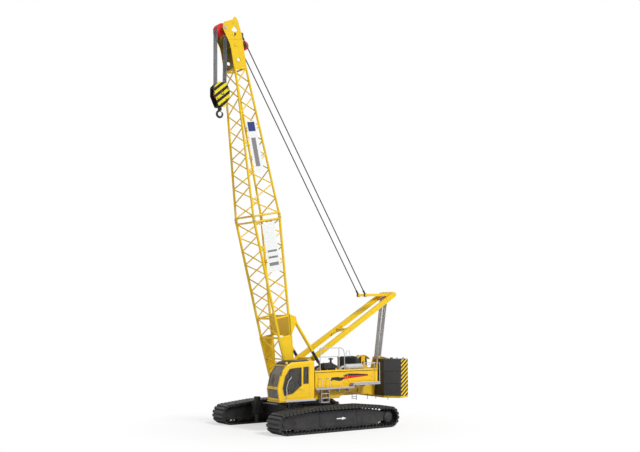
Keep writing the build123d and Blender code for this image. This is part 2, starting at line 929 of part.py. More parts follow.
def console():
    """Instrument column with two lever boxes beside the seat."""
    middle = (cab_inner_y + cab_outer_y) / 2
    floor = cab_low + cab_wall
    with BuildPart() as made:
        block(1950, 2120, middle - 200, middle + 200, floor, 1720)
        for side in (1, -1):
            y = middle + side * 300
            block(1150, 1620, y - 55, y + 55, floor, 1760)
            rod((1560, y, 1750), (1600, y, 1900), 16)
    return made


# ------------------------------------------------------------------------------ boom
def base_depth(s):
    """Half depth of the base section at a station."""
    return foot_half_depth + (base_half_depth - foot_half_depth) * s / base_length


def top_corner(s, front, side):
    """A chord point of the top section at a station."""
    share = (s - base_length) / (top_end - base_length)
    far = top_front_depth if front > 0 else top_rear_depth
    d = front * base_half_depth * (1 - share) + far * share
    y = side * (boom_half_width * (1 - share) + top_half_width * share)
    return boom_point(s, d, y)


def base_corner(s, front, side):
    return boom_point(s, front * base_depth(s), side * boom_half_width)


def lattice(corner, start, end, bays):
    """Zigzag lacing on all four faces between two stations."""
    faces = [((1, 1), (1, -1)), ((-1, -1), (-1, 1)), ((1, -1), (-1, -1)), ((-1, 1), (1, 1))]
    step = (end - start) / bays
    bars = []
    for first, second in faces:
        for index in range(bays):
            near, far = (first, second) if index % 2 == 0 else (second, first)
            a = corner(start + index * step, *near)
            b = corner(start + (index + 1) * step, *far)
            bars.append(rod(a, b, lacing_radius, Mode.PRIVATE))
    return bars


def ring_frame(corner, s, radius):
    """Four cross tubes that tie the chords at a station."""
    order = [(1, 1), (1, -1), (-1, -1), (-1, 1)]
    return [
        rod(corner(s, *order[i]), corner(s, *order[(i + 1) % 4]), radius, Mode.PRIVATE)
        for i in range(4)
    ]


def beyond(station, sense=1):
    """Cuts off what lies past a station, square to the boom."""
    far = station + sense * 300
    corners = [(station, -900), (station, 900), (far, 900), (far, -900)]
    slab([boom_point(s, d) for s, d in corners], -950, 950, Mode.SUBTRACT)


def boom_base():
    """Base section: two plated legs at the foot, tubular lattice above."""
    end = base_length - joint_lug
    with BuildPart() as made:
        bars = []
        for side in (1, -1):
            for front in (1, -1):
                start = base_corner(foot_leg_end - 60, front, side)
                bars.append(rod(start, base_corner(end, front, side), chord_radius, Mode.PRIVATE))
        for s in (foot_leg_end, plated_end, end - 60):
            bars += ring_frame(base_corner, s, frame_tube_radius)
        bars += lattice(base_corner, plated_end, end - 60, 7)
        add(bars)
        for side in (1, -1):
            a = side * (boom_half_width - foot_leg_width / 2)
            b = side * (boom_half_width + foot_leg_width / 2)
            leg = [
                boom_point(0, -foot_half_depth),
                boom_point(-90, -95),
                boom_point(-135, 0),
                boom_point(-90, 95),
                boom_point(0, foot_half_depth),
                boom_point(foot_leg_end, base_depth(foot_leg_end) + chord_radius),
                boom_point(foot_leg_end, -base_depth(foot_leg_end) - chord_radius),
            ]
            slab(leg, min(a, b), max(a, b))
            for front in (1, -1):
                spot = base_corner(end - 10, front, side)
                rod(spot - Vector(0, 70, 0), spot + Vector(0, 70, 0), 44)
                rod(spot, base_corner(base_length + 20, front, side), chord_radius + 8)
        beyond(base_length)
        cross_rod(boom_foot_x, boom_foot_z, -900, 900, axle_radius + 0.5, Mode.SUBTRACT)
        rear = [
            boom_point(foot_leg_end, -base_depth(foot_leg_end) - 12),
            boom_point(plated_end, -base_depth(plated_end) - 12),
            boom_point(plated_end, -base_depth(plated_end) + 12),
            boom_point(foot_leg_end, -base_depth(foot_leg_end) + 12),
        ]
        slab(rear, -boom_half_width, boom_half_width)
        for side in (1, -1):
            bracket = [
                boom_point(1660, -base_depth(1660)),
                boom_point(2190, backstop_d - 70),
                boom_point(2360, backstop_d - 70),
                boom_point(2520, -base_depth(2520)),
            ]
            for low in (backstop_y - 100, backstop_y + 72):
                a, b = side * low, side * (low + 26)
                slab(bracket, min(a, b), max(a, b))
            a, b = side * (backstop_y - 100), side * (backstop_y + 98)
            pin = boom_point(backstop_s, backstop_d)
            cross_rod(pin.X, pin.Z, min(a, b), max(a, b), 32)
    return made


def boom_top():
    """Tapering top section, tubular lattice."""
    start = base_length + joint_lug
    with BuildPart() as made:
        bars = []
        for side in (1, -1):
            for front in (1, -1):
                a = top_corner(start, front, side)
                bars.append(rod(a, top_corner(top_end + 30, front, side), chord_radius - 6,
                                Mode.PRIVATE))
        for s in (start + 60, top_end - 50):
            bars += ring_frame(top_corner, s, frame_tube_radius)
        bars += lattice(top_corner, start + 60, top_end - 50, 10)
        add(bars)
        for side in (1, -1):
            for front in (1, -1):
                spot = top_corner(start + 10, front, side)
                rod(spot - Vector(0, 70, 0), spot + Vector(0, 70, 0), 44)
                rod(top_corner(base_length - 20, front, side), spot, chord_radius + 8)
        beyond(base_length, -1)
        beyond(top_end)
    return made


def boom_head():
    """Two deep side plates with cross tubes, sheave axles and the lugs of the pendants."""
    plate = [
        (top_end, -295),
        (top_end, 290),
        (13350, 295),
        (13570, 320),
        (13980, 455),
        (14150, 520),
        (14330, 500),
        (14440, 396),
        (14500, 150),
        (14520, 5),
        (14640, -76),
        (14600, -161),
        (14450, -215),
        (14170, -255),
        (13910, -288),
    ]
    guide_cheek = [
        (guide_axle_s - 200, 60),
        (guide_axle_s - 75, guide_axle_d - 70),
        (guide_axle_s + 75, guide_axle_d - 70),
        (guide_axle_s + 200, 60),
    ]
    lug = [
        (pendant_s - 90, -90),
        (pendant_s - 60, pendant_d - 60),
        (pendant_s + 60, pendant_d - 60),
        (pendant_s + 90, -90),
    ]
    plate_outer = head_plate_y + head_plate
    lug_inner = pendant_y - pendant_eye - 0.3 - link_plate
    lug_outer = pendant_y + pendant_eye + 0.3
    with BuildPart() as made:
        for side in (1, -1):
            for outline, low, high in (
                (plate, head_plate_y, plate_outer),
                (guide_cheek, guide_cheek_y, guide_cheek_y + 25),
                (lug, lug_inner, lug_inner + link_plate),
                (lug, lug_outer, lug_outer + link_plate),
            ):
                a, b = side * low, side * high
                slab([boom_point(s, d) for s, d in outline], min(a, b), max(a, b))
            a, b = side * (head_plate_y - overlap), side * (plate_outer + overlap)
            for s, d, radius in ((13935, 35, 62), (12900, 28, 75)):
                hole = boom_point(s, d)
                cross_rod(hole.X, hole.Z, min(a, b), max(a, b), radius, Mode.SUBTRACT)
            diamond = [(14275, -10), (14085, -140), (14010, 20), (14092, 155)]
            slab([boom_point(s, d) for s, d in diamond], min(a, b), max(a, b), Mode.SUBTRACT)
        for s, d, half, radius in (
            (head_axle_s, head_axle_d, plate_outer + 24, axle_radius),
            (guide_axle_s, guide_axle_d, guide_cheek_y + 40, axle_radius),
            (pendant_s, pendant_d, lug_outer + link_plate + 10, 36),
            (12700, -220, head_plate_y + 5, 48),
            (12700, 220, head_plate_y + 5, 48),
            (14400, -120, head_plate_y + 5, 40),
            (pendant_s, -150, head_plate_y + 5, 48),
            (guide_axle_s, 30, plate_outer + 14, 60),
        ):
            spot = boom_point(s, d)
            cross_rod(spot.X, spot.Z, -half, half, radius)
    return made


def boom_signs():
    """Two blank boards that lie on the lacing of the boom's left side."""
    boards = [  # corner function, lower end, upper end, rear edge, front edge
        (base_corner, base_length - 2200, base_length - 250, -300, 300),
        (top_corner, base_length + 1800, base_length + 3900, -230, 210),
    ]
    with BuildPart() as made:
        for corner, low, high, rear, front in boards:
            start, end = corner(low, 1, 1), corner(high, 1, 1)
            across = corner(low, 1, 1) - corner(low, -1, 1)
            out = (end - start).cross(across).normalized()
            out = out if out.Y > 0 else -out
            run = (boom_point(high, 0) - boom_point(low, 0)).length
            middle = boom_point((low + high) / 2, (rear + front) / 2)
            level = Plane(origin=start + out * (lacing_radius + 0.3), z_dir=out)
            drop = (level.origin - middle).dot(out) / out.Y
            face = Plane(
                origin=middle + Vector(0, drop, 0),
                x_dir=boom_point(1, 0) - boom_point(0, 0),
                z_dir=out,
            )
            with BuildSketch(face) as board:
                Rectangle(run, front - rear)
            extrude(board.sketch, amount=6)
    return made


# ------------------------------------------------------------------------- backstops
def backstop_line():
    """Pin at the boom and unit direction down to the seat."""
    pin = boom_point(backstop_s, backstop_d)
    foot = Vector(backstop_foot_x, 0, backstop_foot_z)
    return pin, (foot - pin).normalized(), (foot - pin).length


def backstop_tubes():
    pin, along, length = backstop_line()
    with BuildPart() as made:
        for side in (1, -1):
            shift = Vector(0, side * backstop_y, 0)
            rod(pin + shift + along * 60, pin + shift + along * backstop_tube, 66)
            cross_rod(pin.X, pin.Z, shift.Y - 68, shift.Y + 68, 74)
            rod(pin + shift + along * 200, pin + shift + along * (backstop_tube + 2), 50,
                Mode.SUBTRACT)
            cross_rod(pin.X, pin.Z, shift.Y - 90, shift.Y + 90, 32.5, Mode.SUBTRACT)
    return made


def backstop_rods():
    pin, along, length = backstop_line()
    with BuildPart() as made:
        for side in (1, -1):
            shift = Vector(0, side * backstop_y, 0)
            rod(pin + shift + along * (backstop_tube - 420), pin + shift + along * length, 49.5)
            rod(pin + shift + along * (backstop_tube + 400),
                pin + shift + along * (backstop_tube + 420), 62)
            rod(pin + shift + along * (length - 40), pin + shift + along * length, 62)
    return made


# ------------------------------------------------------------------------------ mast
def mast_leg_y(m):
    return mast_foot_y + (mast_peak_y - mast_foot_y) * m / mast_length


def mast():
    """Two box legs on the boom foot pins, the peak's sheave axle and straps to the pendants."""
    half = mast_leg_width / 2
    deep = mast_leg_depth / 2
    half_clear = mast_peak_y - half + 5
    axle = mast_point(mast_sheave_m, -60)
    tip = mast_point(mast_length, 0)
    back = [
        mast_point(mast_length - 60, 100),
        mast_point(mast_length + 60, 100),
        mast_point(mast_length + 60, -90),
        mast_point(mast_length - 60, -90),
    ]
    low = pendant_low()
    along = (low - tip).normalized()
    across = Vector(-along.Z, 0, along.X)
    strap = [
        tip + across * 55 - along * 60,
        tip - across * 55 - along * 60,
        low - across * 55 + along * 60,
        low + across * 55 + along * 60,
    ]
    inner = pendant_y - pendant_eye - 0.3 - link_plate
    outer = pendant_y + pendant_eye + 0.3
    with BuildPart() as made:
        for side in (1, -1):
            plan = [
                (0, side * (mast_foot_y - half)),
                (0, side * (mast_foot_y + half)),
                (mast_length, side * (mast_peak_y + half)),
                (mast_length, side * (mast_peak_y - half)),
            ]
            a = radians(mast_angle)
            base = Plane(
                origin=mast_point(0, -deep),
                x_dir=(cos(a), 0, sin(a)),
                z_dir=(sin(a), 0, -cos(a)),
            )
            flip = base.y_dir.Y
            with BuildSketch(base) as outline:
                with BuildLine():
                    Polyline(*[(x, flip * y) for x, y in plan], close=True)
                make_face()
            extrude(outline.sketch, amount=mast_leg_depth)
            y = side * mast_foot_y
            cross_rod(boom_foot_x, boom_foot_z, y - half, y + half, deep)
            y = side * mast_peak_y
            cross_rod(tip.X, tip.Z, y - half, y + half, deep)
        for m, radius in ((1350, 70), (3600, 55)):
            spot = mast_point(m, 0)
            reach = mast_leg_y(m) - half + 10
            cross_rod(spot.X, spot.Z, -reach, reach, radius)
        cross_rod(axle.X, axle.Z, -half_clear, half_clear, luffing_axle_radius)
        slab(back, -half_clear, half_clear)
        for side in (1, -1):
            for low_y in (inner, outer):
                a, b = side * low_y, side * (low_y + link_plate)
                slab(strap, min(a, b), max(a, b))
            a, b = side * (inner - 10), side * mast_peak_y
            cross_rod(tip.X, tip.Z, min(a, b), max(a, b), 40)
            a, b = side * (inner - 10), side * (outer + link_plate + 10)
            cross_rod(low.X, low.Z, min(a, b), max(a, b), 36)
        cross_rod(boom_foot_x, boom_foot_z, -900, 900, axle_radius + 0.5, Mode.SUBTRACT)
    return made


def pendant_low():
    """Lower end of a pendant, beside the mast peak."""
    return Vector(-2980, 0, 5350)


def pendants():
    """Two stay ropes from the boom head to the links of the mast peak."""
    top = boom_point(pendant_s, pendant_d)
    low = pendant_low()
    along = (low - top).normalized()
    with BuildPart() as made:
        for side in (1, -1):
            shift = Vector(0, side * pendant_y, 0)
            rod(top + shift + along * 190, low + shift - along * 190, pendant_radius)
            for end, sense in ((top, 1), (low, -1)):
                rod(end + shift + along * sense * 60, end + shift + along * sense * 240, 40)
                cross_rod(end.X, end.Z, shift.Y - pendant_eye, shift.Y + pendant_eye, 75)
            for end in (top, low):
                cross_rod(end.X, end.Z, shift.Y - 60, shift.Y + 60, 36.5, Mode.SUBTRACT)
    return made


# ------------------------------------------------------------------------- hook block
head_axle = boom_point(head_axle_s, head_axle_d)
block_x = head_axle.X
block_z = head_axle.Z - block_drop


def hook_block():
    """Two cheek plates with the sheave pin and the hook's cross head."""
    half = block_half_length
    outline = [
        (block_x - half, block_z - 130),
        (block_x - half, block_z + 220),
        (block_x - half * 0.45, block_z + 430),
        (block_x + half * 0.45, block_z + 430),
        (block_x + half, block_z + 220),
        (block_x + half, block_z - 130),
        (block_x + half * 0.4, block_z - 560),
        (block_x - half * 0.4, block_z - 560),
    ]
    with BuildPart() as made:
        for low in (-cheek_gap / 2 - cheek_plate, cheek_gap / 2):
            slab(outline, low, low + cheek_plate)
        reach = cheek_gap / 2 + cheek_plate + 20
        cross_rod(block_x, block_z, -reach, reach, axle_radius)
        block(block_x - 100, block_x + 100, -cheek_gap / 2 - 5, cheek_gap / 2 + 5,
              block_z - 540, block_z - 380)
        for x in (block_x - 305, block_x + 305):
            cross_rod(x, block_z + 180, -cheek_gap / 2 - 5, cheek_gap / 2 + 5, 24)
        rod((block_x, 0, block_z - 600), (block_x, 0, block_z - 300), 46, Mode.SUBTRACT)
    return made


def hook():
    """Swivelling hook with its nut above the cross head."""
    z = block_z - 560
    with BuildPart() as made:
        rod((block_x, 0, z - 120), (block_x, 0, block_z - 340), 45)
        rod((block_x, 0, block_z - 379.5), (block_x, 0, block_z - 320), 90)
        rod((block_x, 0, z - 120), (block_x, 0, z - 20), 75)
        with BuildSketch(side_plane(0)) as bow:
            with Locations((block_x, z - 270)):
                Circle(165)
                Circle(80, mode=Mode.SUBTRACT)
            with BuildLine():
                Polyline((block_x - 60, z - 60), (block_x - 60, z - 190), (block_x - 300, z - 260),
                         (block_x - 300, z - 60), close=True)
            make_face(mode=Mode.SUBTRACT)
        extrude(bow.sketch, amount=45, both=True)
    return made


def rope_falls(top, top_radius, low, low_radius, count, pitch):
    """Pairs of straight falls that touch the grooves of two sheave nests."""
    along = (top - low).normalized()
    across = Vector(along.Z, 0, -along.X)
    for index in range(count):
        shift = Vector(0, (index - (count - 1) / 2) * pitch, 0)
        for side in (1, -1):
            start = top + shift + across * side * (top_radius - rope_inset)
            rod(start, low + shift + across * side * (low_radius - rope_inset), rope_radius)


def hoist_ropes():
    """Rope falls between the head sheaves and the hook block."""
    with BuildPart() as made:
        rope_falls(
            head_axle,
            head_sheave_radius,
            Vector(block_x, 0, block_z),
            block_sheave_radius,
            sheave_count,
            sheave_pitch,
        )
    return made


def luffing_ropes():
    """Rope falls between the mast head and the lower sheave nest."""
    with BuildPart() as made:
        rope_falls(
            mast_point(mast_sheave_m, -60),
            mast_sheave_radius,
            Vector(bridle_x, 0, bridle_z),
            bridle_sheave_radius,
            luffing_parts,
            luffing_pitch,
        )
    return made


# ------------------------------------------------------------------------------ build
os.makedirs("parts", exist_ok=True)

for side, name in ((1, "left"), (-1, "right")):
    export(track(side), f"track_{name}")
    export(track_frame(side), f"track_frame_{name}")
export(wheels(wheel_x), "idler_wheels")
export(wheels(-wheel_x), "drive_sprockets")
export(rollers(), "track_rollers")
export(carbody(), "carbody")
export(slewing_ring(), "slewing_ring")
export(jack_housings(), "jack_housings")
for name, (x, y, top) in jack_places.items():
    export(jack_leg(x, y, top), f"jack_leg_{name}")

export(main_frame(), "main_frame")
for name, (x, z, flange) in winch_places.items():
    export(drum(x, z, flange), name)
for side, name in ((1, "left"), (-1, "right")):
    export(hood(side), f"engine_housing_{name}")
    for place, row in door_table.items():
        export(hood_door(side, row), f"housing_door_{name}_{place}")
export(walkways(), "walkways")
export(handrails(), "handrails")
export(engine_block(), "engine_block")
export(muffler(), "muffler")
export(cooler(), "oil_cooler")
export(air_cleaner(), "air_cleaner")
export(fuel_tank(), "fuel_tank")
export(counterweight_tray(), "counterweight_tray")
for side, name in ((1, "left"), (-1, "right")):
    export(counterweight(side), f"counterweight_{name}")
export(hazard_plates(), "hazard_plates")
export(rear_gantry(), "rear_gantry")
luffing_nest = (luffing_parts, luffing_pitch, luffing_sheave_width, luffing_bore)
export(sheaves(bridle_x, bridle_z, bridle_sheave_radius, *luffing_nest), "bridle_sheaves")

export(cab_shell(), "cab_shell")
export(cab_roof(), "cab_roof")
export(cab_glass(), "cab_glass")
export(cab_door(), "cab_door")
export(door_glass(), "door_glass")
export(seat(), "operator_seat")
export(console(), "control_console")

export(boom_base(), "boom_base_section")
export(boom_top(), "boom_top_section")
export(boom_head(), "boom_head")
export(boom_signs(), "boom_signs")
hoist_nest = (sheave_count, sheave_pitch, sheave_width, axle_radius + 0.5)
export(sheaves(head_axle.X, head_axle.Z, head_sheave_radius, *hoist_nest), "head_sheaves")
guide_axle = boom_point(guide_axle_s, guide_axle_d)
guide_pair = (2, guide_sheave_pitch, guide_sheave_width, axle_radius + 0.5)
export(sheaves(guide_axle.X, guide_axle.Z, guide_sheave_radius, *guide_pair), "guide_sheaves")
export(pendants(), "pendants")
export(backstop_tubes(), "backstop_tubes")
export(backstop_rods(), "backstop_rods")

export(mast(), "mast")
mast_axle = mast_point(mast_sheave_m, -60)
export(sheaves(mast_axle.X, mast_axle.Z, mast_sheave_radius, *luffing_nest), "mast_sheaves")

export(hook_block(), "hook_block")
export(sheaves(block_x, block_z, block_sheave_radius, *hoist_nest), "block_sheaves")
export(hook(), "hook")
export(hoist_ropes(), "hoist_ropes")
export(luffing_ropes(), "luffing_ropes")
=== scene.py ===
from math import acos, atan2, cos, hypot, pi, radians, sin

import bmesh
import bpy
from mathutils import Matrix, Vector


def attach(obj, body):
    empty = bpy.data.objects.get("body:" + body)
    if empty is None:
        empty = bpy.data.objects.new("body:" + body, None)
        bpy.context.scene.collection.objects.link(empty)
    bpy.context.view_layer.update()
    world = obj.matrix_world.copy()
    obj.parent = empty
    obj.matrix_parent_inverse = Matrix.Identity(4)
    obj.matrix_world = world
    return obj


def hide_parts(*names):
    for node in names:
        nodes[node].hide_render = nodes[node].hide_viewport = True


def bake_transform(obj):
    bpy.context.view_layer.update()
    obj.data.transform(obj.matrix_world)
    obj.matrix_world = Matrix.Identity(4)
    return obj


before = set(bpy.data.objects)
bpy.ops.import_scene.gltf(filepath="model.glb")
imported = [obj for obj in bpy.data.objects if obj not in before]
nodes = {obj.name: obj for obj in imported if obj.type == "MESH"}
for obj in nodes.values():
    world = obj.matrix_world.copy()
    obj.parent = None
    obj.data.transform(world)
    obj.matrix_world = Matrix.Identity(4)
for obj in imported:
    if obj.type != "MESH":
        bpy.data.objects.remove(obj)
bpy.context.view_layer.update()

# ------------------------------------------------------------------ places in the frame, metres
boom_foot = Vector((1.133, 0, 2.017))
boom_angle = radians(79.6)
mast_angle = radians(148.6)
base_length = 6.5
top_end = 12.6  # upper end of the boom's top section
foot_half_depth, base_half_depth = 0.15, 0.61
boom_half_width, top_half_width = 0.70, 0.43
top_rear_depth, top_front_depth = -0.248, 0.250
mast_length = 6.48
block_drop = 2.59
head_sheave_radius = 0.240
block_sheave_radius = 0.215
mast_sheave_radius = 0.125
bridle_sheave_radius = 0.105
bridle_axle = Vector((-3.80, 0, 2.56))
rope_radius = 0.013
rope_inset = 0.011  # from a sheave's rim to the centre of its rope
track_y = 2.14
shoe_half = 0.42
frame_face = 2.38
wheel_x, wheel_z = 2.495, 0.405
hood_side, hood_top = 1.35, 2.28
footway_edge = 1.62
cab_left, cab_right = 1.652, 0.802
cab_middle = (cab_right + cab_left) / 2
drums = {"main_drum": (0.06, 2.08), "auxiliary_drum": (-0.95, 2.08), "luffing_drum": (-2.70, 2.48)}
sides = {"left": 1, "right": -1}
lower, upper = "undercarriage", "superstructure"
up = Vector((0, 0, 1))


def arm_point(angle, along, front, y):
    """A point on an arm that stands on the boom foot: along it, in front of its line, and to one side."""
    length = Vector((cos(angle), 0, sin(angle)))
    depth = Vector((sin(angle), 0, -cos(angle)))
    return boom_foot + length * along + depth * front + Vector((0, y, 0))


def boom_point(s, d, y=0.0):
    return arm_point(boom_angle, s, d, y)


def mast_point(m, d, y=0.0):
    return arm_point(mast_angle, m, d, y)


head_axle = boom_point(14.200, 0.408)
mast_axle = mast_point(6.180, -0.060)
block_axle = head_axle - Vector((0, 0, block_drop))


# ------------------------------------------------------------------ finishes
class Tree:
    """Short calls for the nodes of a material or a world."""

    def __init__(self, tree):
        self.tree = tree

    def feed(self, socket, value):
        """Links a socket to another one, or gives it a plain value."""
        if isinstance(value, bpy.types.NodeSocket):
            self.tree.links.new(value, socket)
        else:
            socket.default_value = (*value, 1) if socket.type == "RGBA" else value

    def node(self, kind, inputs=None, **settings):
        made = self.tree.nodes.new("ShaderNode" + kind)
        for key, value in settings.items():
            setattr(made, key, value)
        for key, value in (inputs or {}).items():
            self.feed(made.inputs[key], value)
        return made


class Finish(Tree):
    """A Principled material, and what its pattern is made with."""

    slot = None

    def __init__(self, name, color, rough, metallic=0.0, **sockets):
        self.material = bpy.data.materials.new(name)
        self.material.use_nodes = True
        super().__init__(self.material.node_tree)
        self.shader = self.tree.nodes["Principled BSDF"]
        sockets = {"Base_Color": color, "Roughness": rough, "Metallic": metallic, **sockets}
        for socket, value in sockets.items():
            self.feed(self.shader.inputs[socket.replace("_", " ")], value)
        self.coords = self.node("TexCoord").outputs["Object"]

    def math(self, operation, a, b=0.0, c=0.0):
        return self.node("Math", {0: a, 1: b, 2: c}, operation=operation).outputs[0]

    def noise(self, scale, detail=4.0, rough=0.55, coords=None):
        inputs = {"Vector": coords or self.coords, "Scale": scale, "Detail": detail, "Roughness": rough}
        return self.node("TexNoise", inputs).outputs["Fac"]

    def span(self, value, low, high, out_low=0.0, out_high=1.0):
        inputs = {"Value": value, "From Min": low, "From Max": high, "To Min": out_low, "To Max": out_high}
        return self.node("MapRange", inputs).outputs["Result"]

    def mix(self, share, first, second):
        return self.node("Mix", {0: share, 6: first, 7: second}, data_type="RGBA").outputs[2]

    def axis(self, name):
        return self.node("SeparateXYZ", {0: self.coords}).outputs[name]

    def base(self, socket):
        self.feed(self.shader.inputs["Base Color"], socket)

    def rough(self, scale, detail, low, high, start=0.3, stop=0.7):
        """Roughness that wanders between two values."""
        wander = self.span(self.noise(scale, detail), start, stop, low, high)
        self.feed(self.shader.inputs["Roughness"], wander)

    def bump(self, height, strength, distance):
        bump = self.node("Bump", {"Height": height, "Strength": strength, "Distance": distance})
        self.feed(self.shader.inputs["Normal"], bump.outputs["Normal"])


def scaled(color, share):
    return tuple(min(1.0, channel * share) for channel in color)


def paint(name, color, rough=0.36, spread=0.06, grime=0.0, grime_top=0.0, coat=0.12, runs=0.16):
    """Sprayed enamel: faint mottling, orange peel, and dust that gathers low down."""
    f = Finish(name, color, rough, Coat_Weight=coat, Coat_Roughness=0.12, Specular_IOR_Level=0.35)
    broad = f.span(f.noise(0.9, 6), 0.3, 0.7)
    tone = f.mix(broad, scaled(color, 1 - spread), scaled(color, 1 + spread))
    streaks = f.node("Mapping", {"Vector": f.coords, "Scale": (9, 9, 0.7)})
    streak = f.noise(1.6, 5, 0.6, streaks.outputs[0])
    tone = f.mix(f.span(streak, 0.58, 0.8, 0.0, runs), tone, scaled(color, 0.55))
    if grime > 0:
        height = f.span(f.axis("Z"), 0.0, grime_top, 1.0, 0.0)
        patch = f.math("MULTIPLY", f.span(f.noise(3.2, 8, 0.7), 0.35, 0.7), height)
        tone = f.mix(f.math("MULTIPLY", patch, grime), tone, (0.16, 0.14, 0.12))
    f.base(tone)
    f.rough(22, 4, rough - 0.07, rough + 0.1)
    f.bump(f.noise(160, 2), 0.12, 0.002)
    return f


def paint_with_painted_inner_shade(name, color, inside, reach):
    """Enamel outside a distance from the middle plane, and within it a dull dark olive that is painted shade on
    the inner faces.
    """
    f = paint(name, color, 0.4, 0.04, coat=0.05, runs=0.06)
    outer = f.shader.inputs["Base Color"].links[0].from_socket
    away = f.math("ABSOLUTE", f.axis("Y"))
    f.base(f.mix(f.span(away, reach - 0.0005, reach + 0.0005), inside, outer))
    return f


def cast(name, color, rough=0.6, worn=(0.16, 0.155, 0.15), share=0.35, metallic=0.0):
    """Rough cast or flame-cut steel, rubbed bright in patches and dusty in others."""
    f = Finish(name, color, rough, metallic)
    rub = f.span(f.noise(7, 8, 0.7), 0.55, 0.78, 0.0, share)
    dust = f.span(f.noise(1.7, 5), 0.45, 0.75, 0.0, 0.3)
    f.base(f.mix(dust, f.mix(rub, color, worn), scaled(color, 1.9)))
    f.rough(30, 4, rough - 0.12, rough + 0.12)
    f.bump(f.noise(85, 6, 0.65), 0.3, 0.004)
    return f


def steel(name, color, rough=0.3, scale=40):
    """Bare machined steel with a fine grain."""
    f = Finish(name, color, rough, 1.0)
    grain = f.noise(scale, 8, 0.7)
    f.base(f.mix(f.span(grain, 0.3, 0.7), scaled(color, 0.75), scaled(color, 1.2)))
    f.rough(9, 5, rough - 0.08, rough + 0.12)
    f.bump(grain, 0.15, 0.001)
    return f


def rope(name, color, pitch=38.0):
    """Laid wire rope: slanting strands, lighter on their crowns and darker in the valleys between them."""
    f = Finish(name, color, 0.42, 0.6)
    lay = {"Vector": f.coords, "Scale": pitch, "Distortion": 0.6, "Detail": 1.0}
    strands = f.node("TexWave", lay, bands_direction="DIAGONAL").outputs["Fac"]
    f.base(f.mix(f.span(strands, 0.25, 0.8), scaled(color, 0.35), scaled(color, 1.35)))
    f.bump(strands, 0.6, 0.003)
    return f


def striped(name, first, second, slope, pitch, share=0.5, outside=0.0, rough=0.45):
    """Slanting warning stripes, set out on X and Z, with near-black painted shade on faces nearer the middle
    plane than a given distance.
    """
    f = Finish(name, first, rough, Specular_IOR_Level=0.3)
    along = f.math("MULTIPLY_ADD", f.axis("X"), slope, f.axis("Z"))
    part = f.math("FRACT", f.math("DIVIDE", along, pitch))
    edge = f.span(part, share - 0.01, share + 0.01)
    broad = f.math("ABSOLUTE", f.axis("Y"))
    wear = f.span(f.noise(26, 6, 0.7), 0.7, 0.76, 0.0, 0.35)
    stripes = f.mix(wear, f.mix(edge, first, second), (0.10, 0.09, 0.07))
    # faces nearer the middle plane than outside are near-black painted shade, as on the hook block's inner
    # cheek faces
    f.base(f.mix(f.span(broad, outside - 0.001, outside), (0.010, 0.010, 0.013), stripes))
    f.rough(20, 4, rough - 0.08, rough + 0.12)
    f.bump(f.noise(150, 2), 0.1, 0.002)
    return f


def grating(name, color):
    """Serrated walkway planks: rows of raised teats, with painted shade darkening the round holes between them.
    """
    f = Finish(name, color, 0.5, 0.3)
    fine = f.node("Mapping", {"Vector": f.coords, "Scale": (22, 22, 22)})
    dots = f.node("TexVoronoi", {"Vector": fine.outputs[0], "Randomness": 0.0})
    holes = f.span(dots.outputs["Distance"], 0.16, 0.3)
    # the holes are painted dark as shade
    f.base(f.mix(holes, scaled(color, 0.3), color))
    f.rough(12, 5, 0.42, 0.62)
    f.bump(holes, 0.7, 0.006)
    return f


def weave(name, color):
    """Coarse woven seat cloth."""
    f = Finish(name, color, 0.85, Sheen_Weight=0.4, Sheen_Roughness=0.5)
    warp, weft = (f.node("TexWave", {"Vector": f.coords, "Scale": 110.0}, bands_direction=way).outputs["Fac"]
                  for way in "XZ")
    cloth = f.math("MULTIPLY", warp, weft)
    f.base(f.mix(f.span(cloth, 0.1, 0.7), scaled(color, 0.6), scaled(color, 1.6)))
    f.bump(cloth, 0.4, 0.002)
    return f


def plastic(name, color, rough=0.5):
    """Moulded plastic or rubber with a fine leather grain."""
    f = Finish(name, color, rough)
    f.base(f.mix(f.span(f.noise(3, 5), 0.35, 0.7), scaled(color, 0.85), scaled(color, 1.3)))
    f.rough(14, 4, rough - 0.08, rough + 0.1)
    cells = f.node("TexVoronoi", {"Vector": f.coords, "Scale": 240.0})
    f.bump(cells.outputs["Distance"], 0.2, 0.001)
    return f


def glazing(name, color):
    """Tinted safety glass with faint smears."""
    f = Finish(name, color, 0.03, Transmission_Weight=0.93, IOR=1.5)
    f.rough(2.4, 6, 0.02, 0.12, 0.4, 0.75)
    f.base(f.mix(f.span(f.noise(1.3, 4), 0.4, 0.7), color, scaled(color, 0.8)))
    return f


yellow = (0.82, 0.545, 0.006)
charcoal = (0.015, 0.015, 0.017)
boom_yellow = paint("boom_yellow_enamel", yellow, 0.4, 0.04, coat=0.05, runs=0.06)
cab_yellow = paint("cab_yellow_enamel", (0.90, 0.56, 0.006), 0.3, 0.03, coat=0.2, runs=0.06)
# the boom head's inner plate faces carry a dark olive painted shade
head_yellow_painted_shade = paint_with_painted_inner_shade("boom_head_enamel_painted_inner_shade", yellow, (0.16, 0.105, 0.004), 0.396)
deck_yellow = paint("deck_yellow_enamel", (0.78, 0.50, 0.010), 0.4, 0.1, 0.5, 2.2)
frame_paint = paint("undercarriage_charcoal", charcoal, 0.5, 0.15, 0.35, 0.9, 0.05)
track_metal = cast("track_shoe_steel", (0.015, 0.015, 0.016), 0.55, (0.11, 0.11, 0.105))
link_metal = cast("track_link_steel", (0.012, 0.012, 0.013), 0.5, (0.22, 0.21, 0.20), 0.4, 0.3)
weight_paint = cast("counterweight_grey", (0.040, 0.040, 0.042), 0.6, (0.06, 0.06, 0.06), 0.3)
sheave_red = plastic("cast_nylon_red", (0.72, 0.018, 0.018), 0.42)
hoist_wire = rope("hoist_wire_rope", (0.22, 0.23, 0.24))
stay_wire = rope("stay_wire_rope", (0.07, 0.07, 0.075), 30.0)
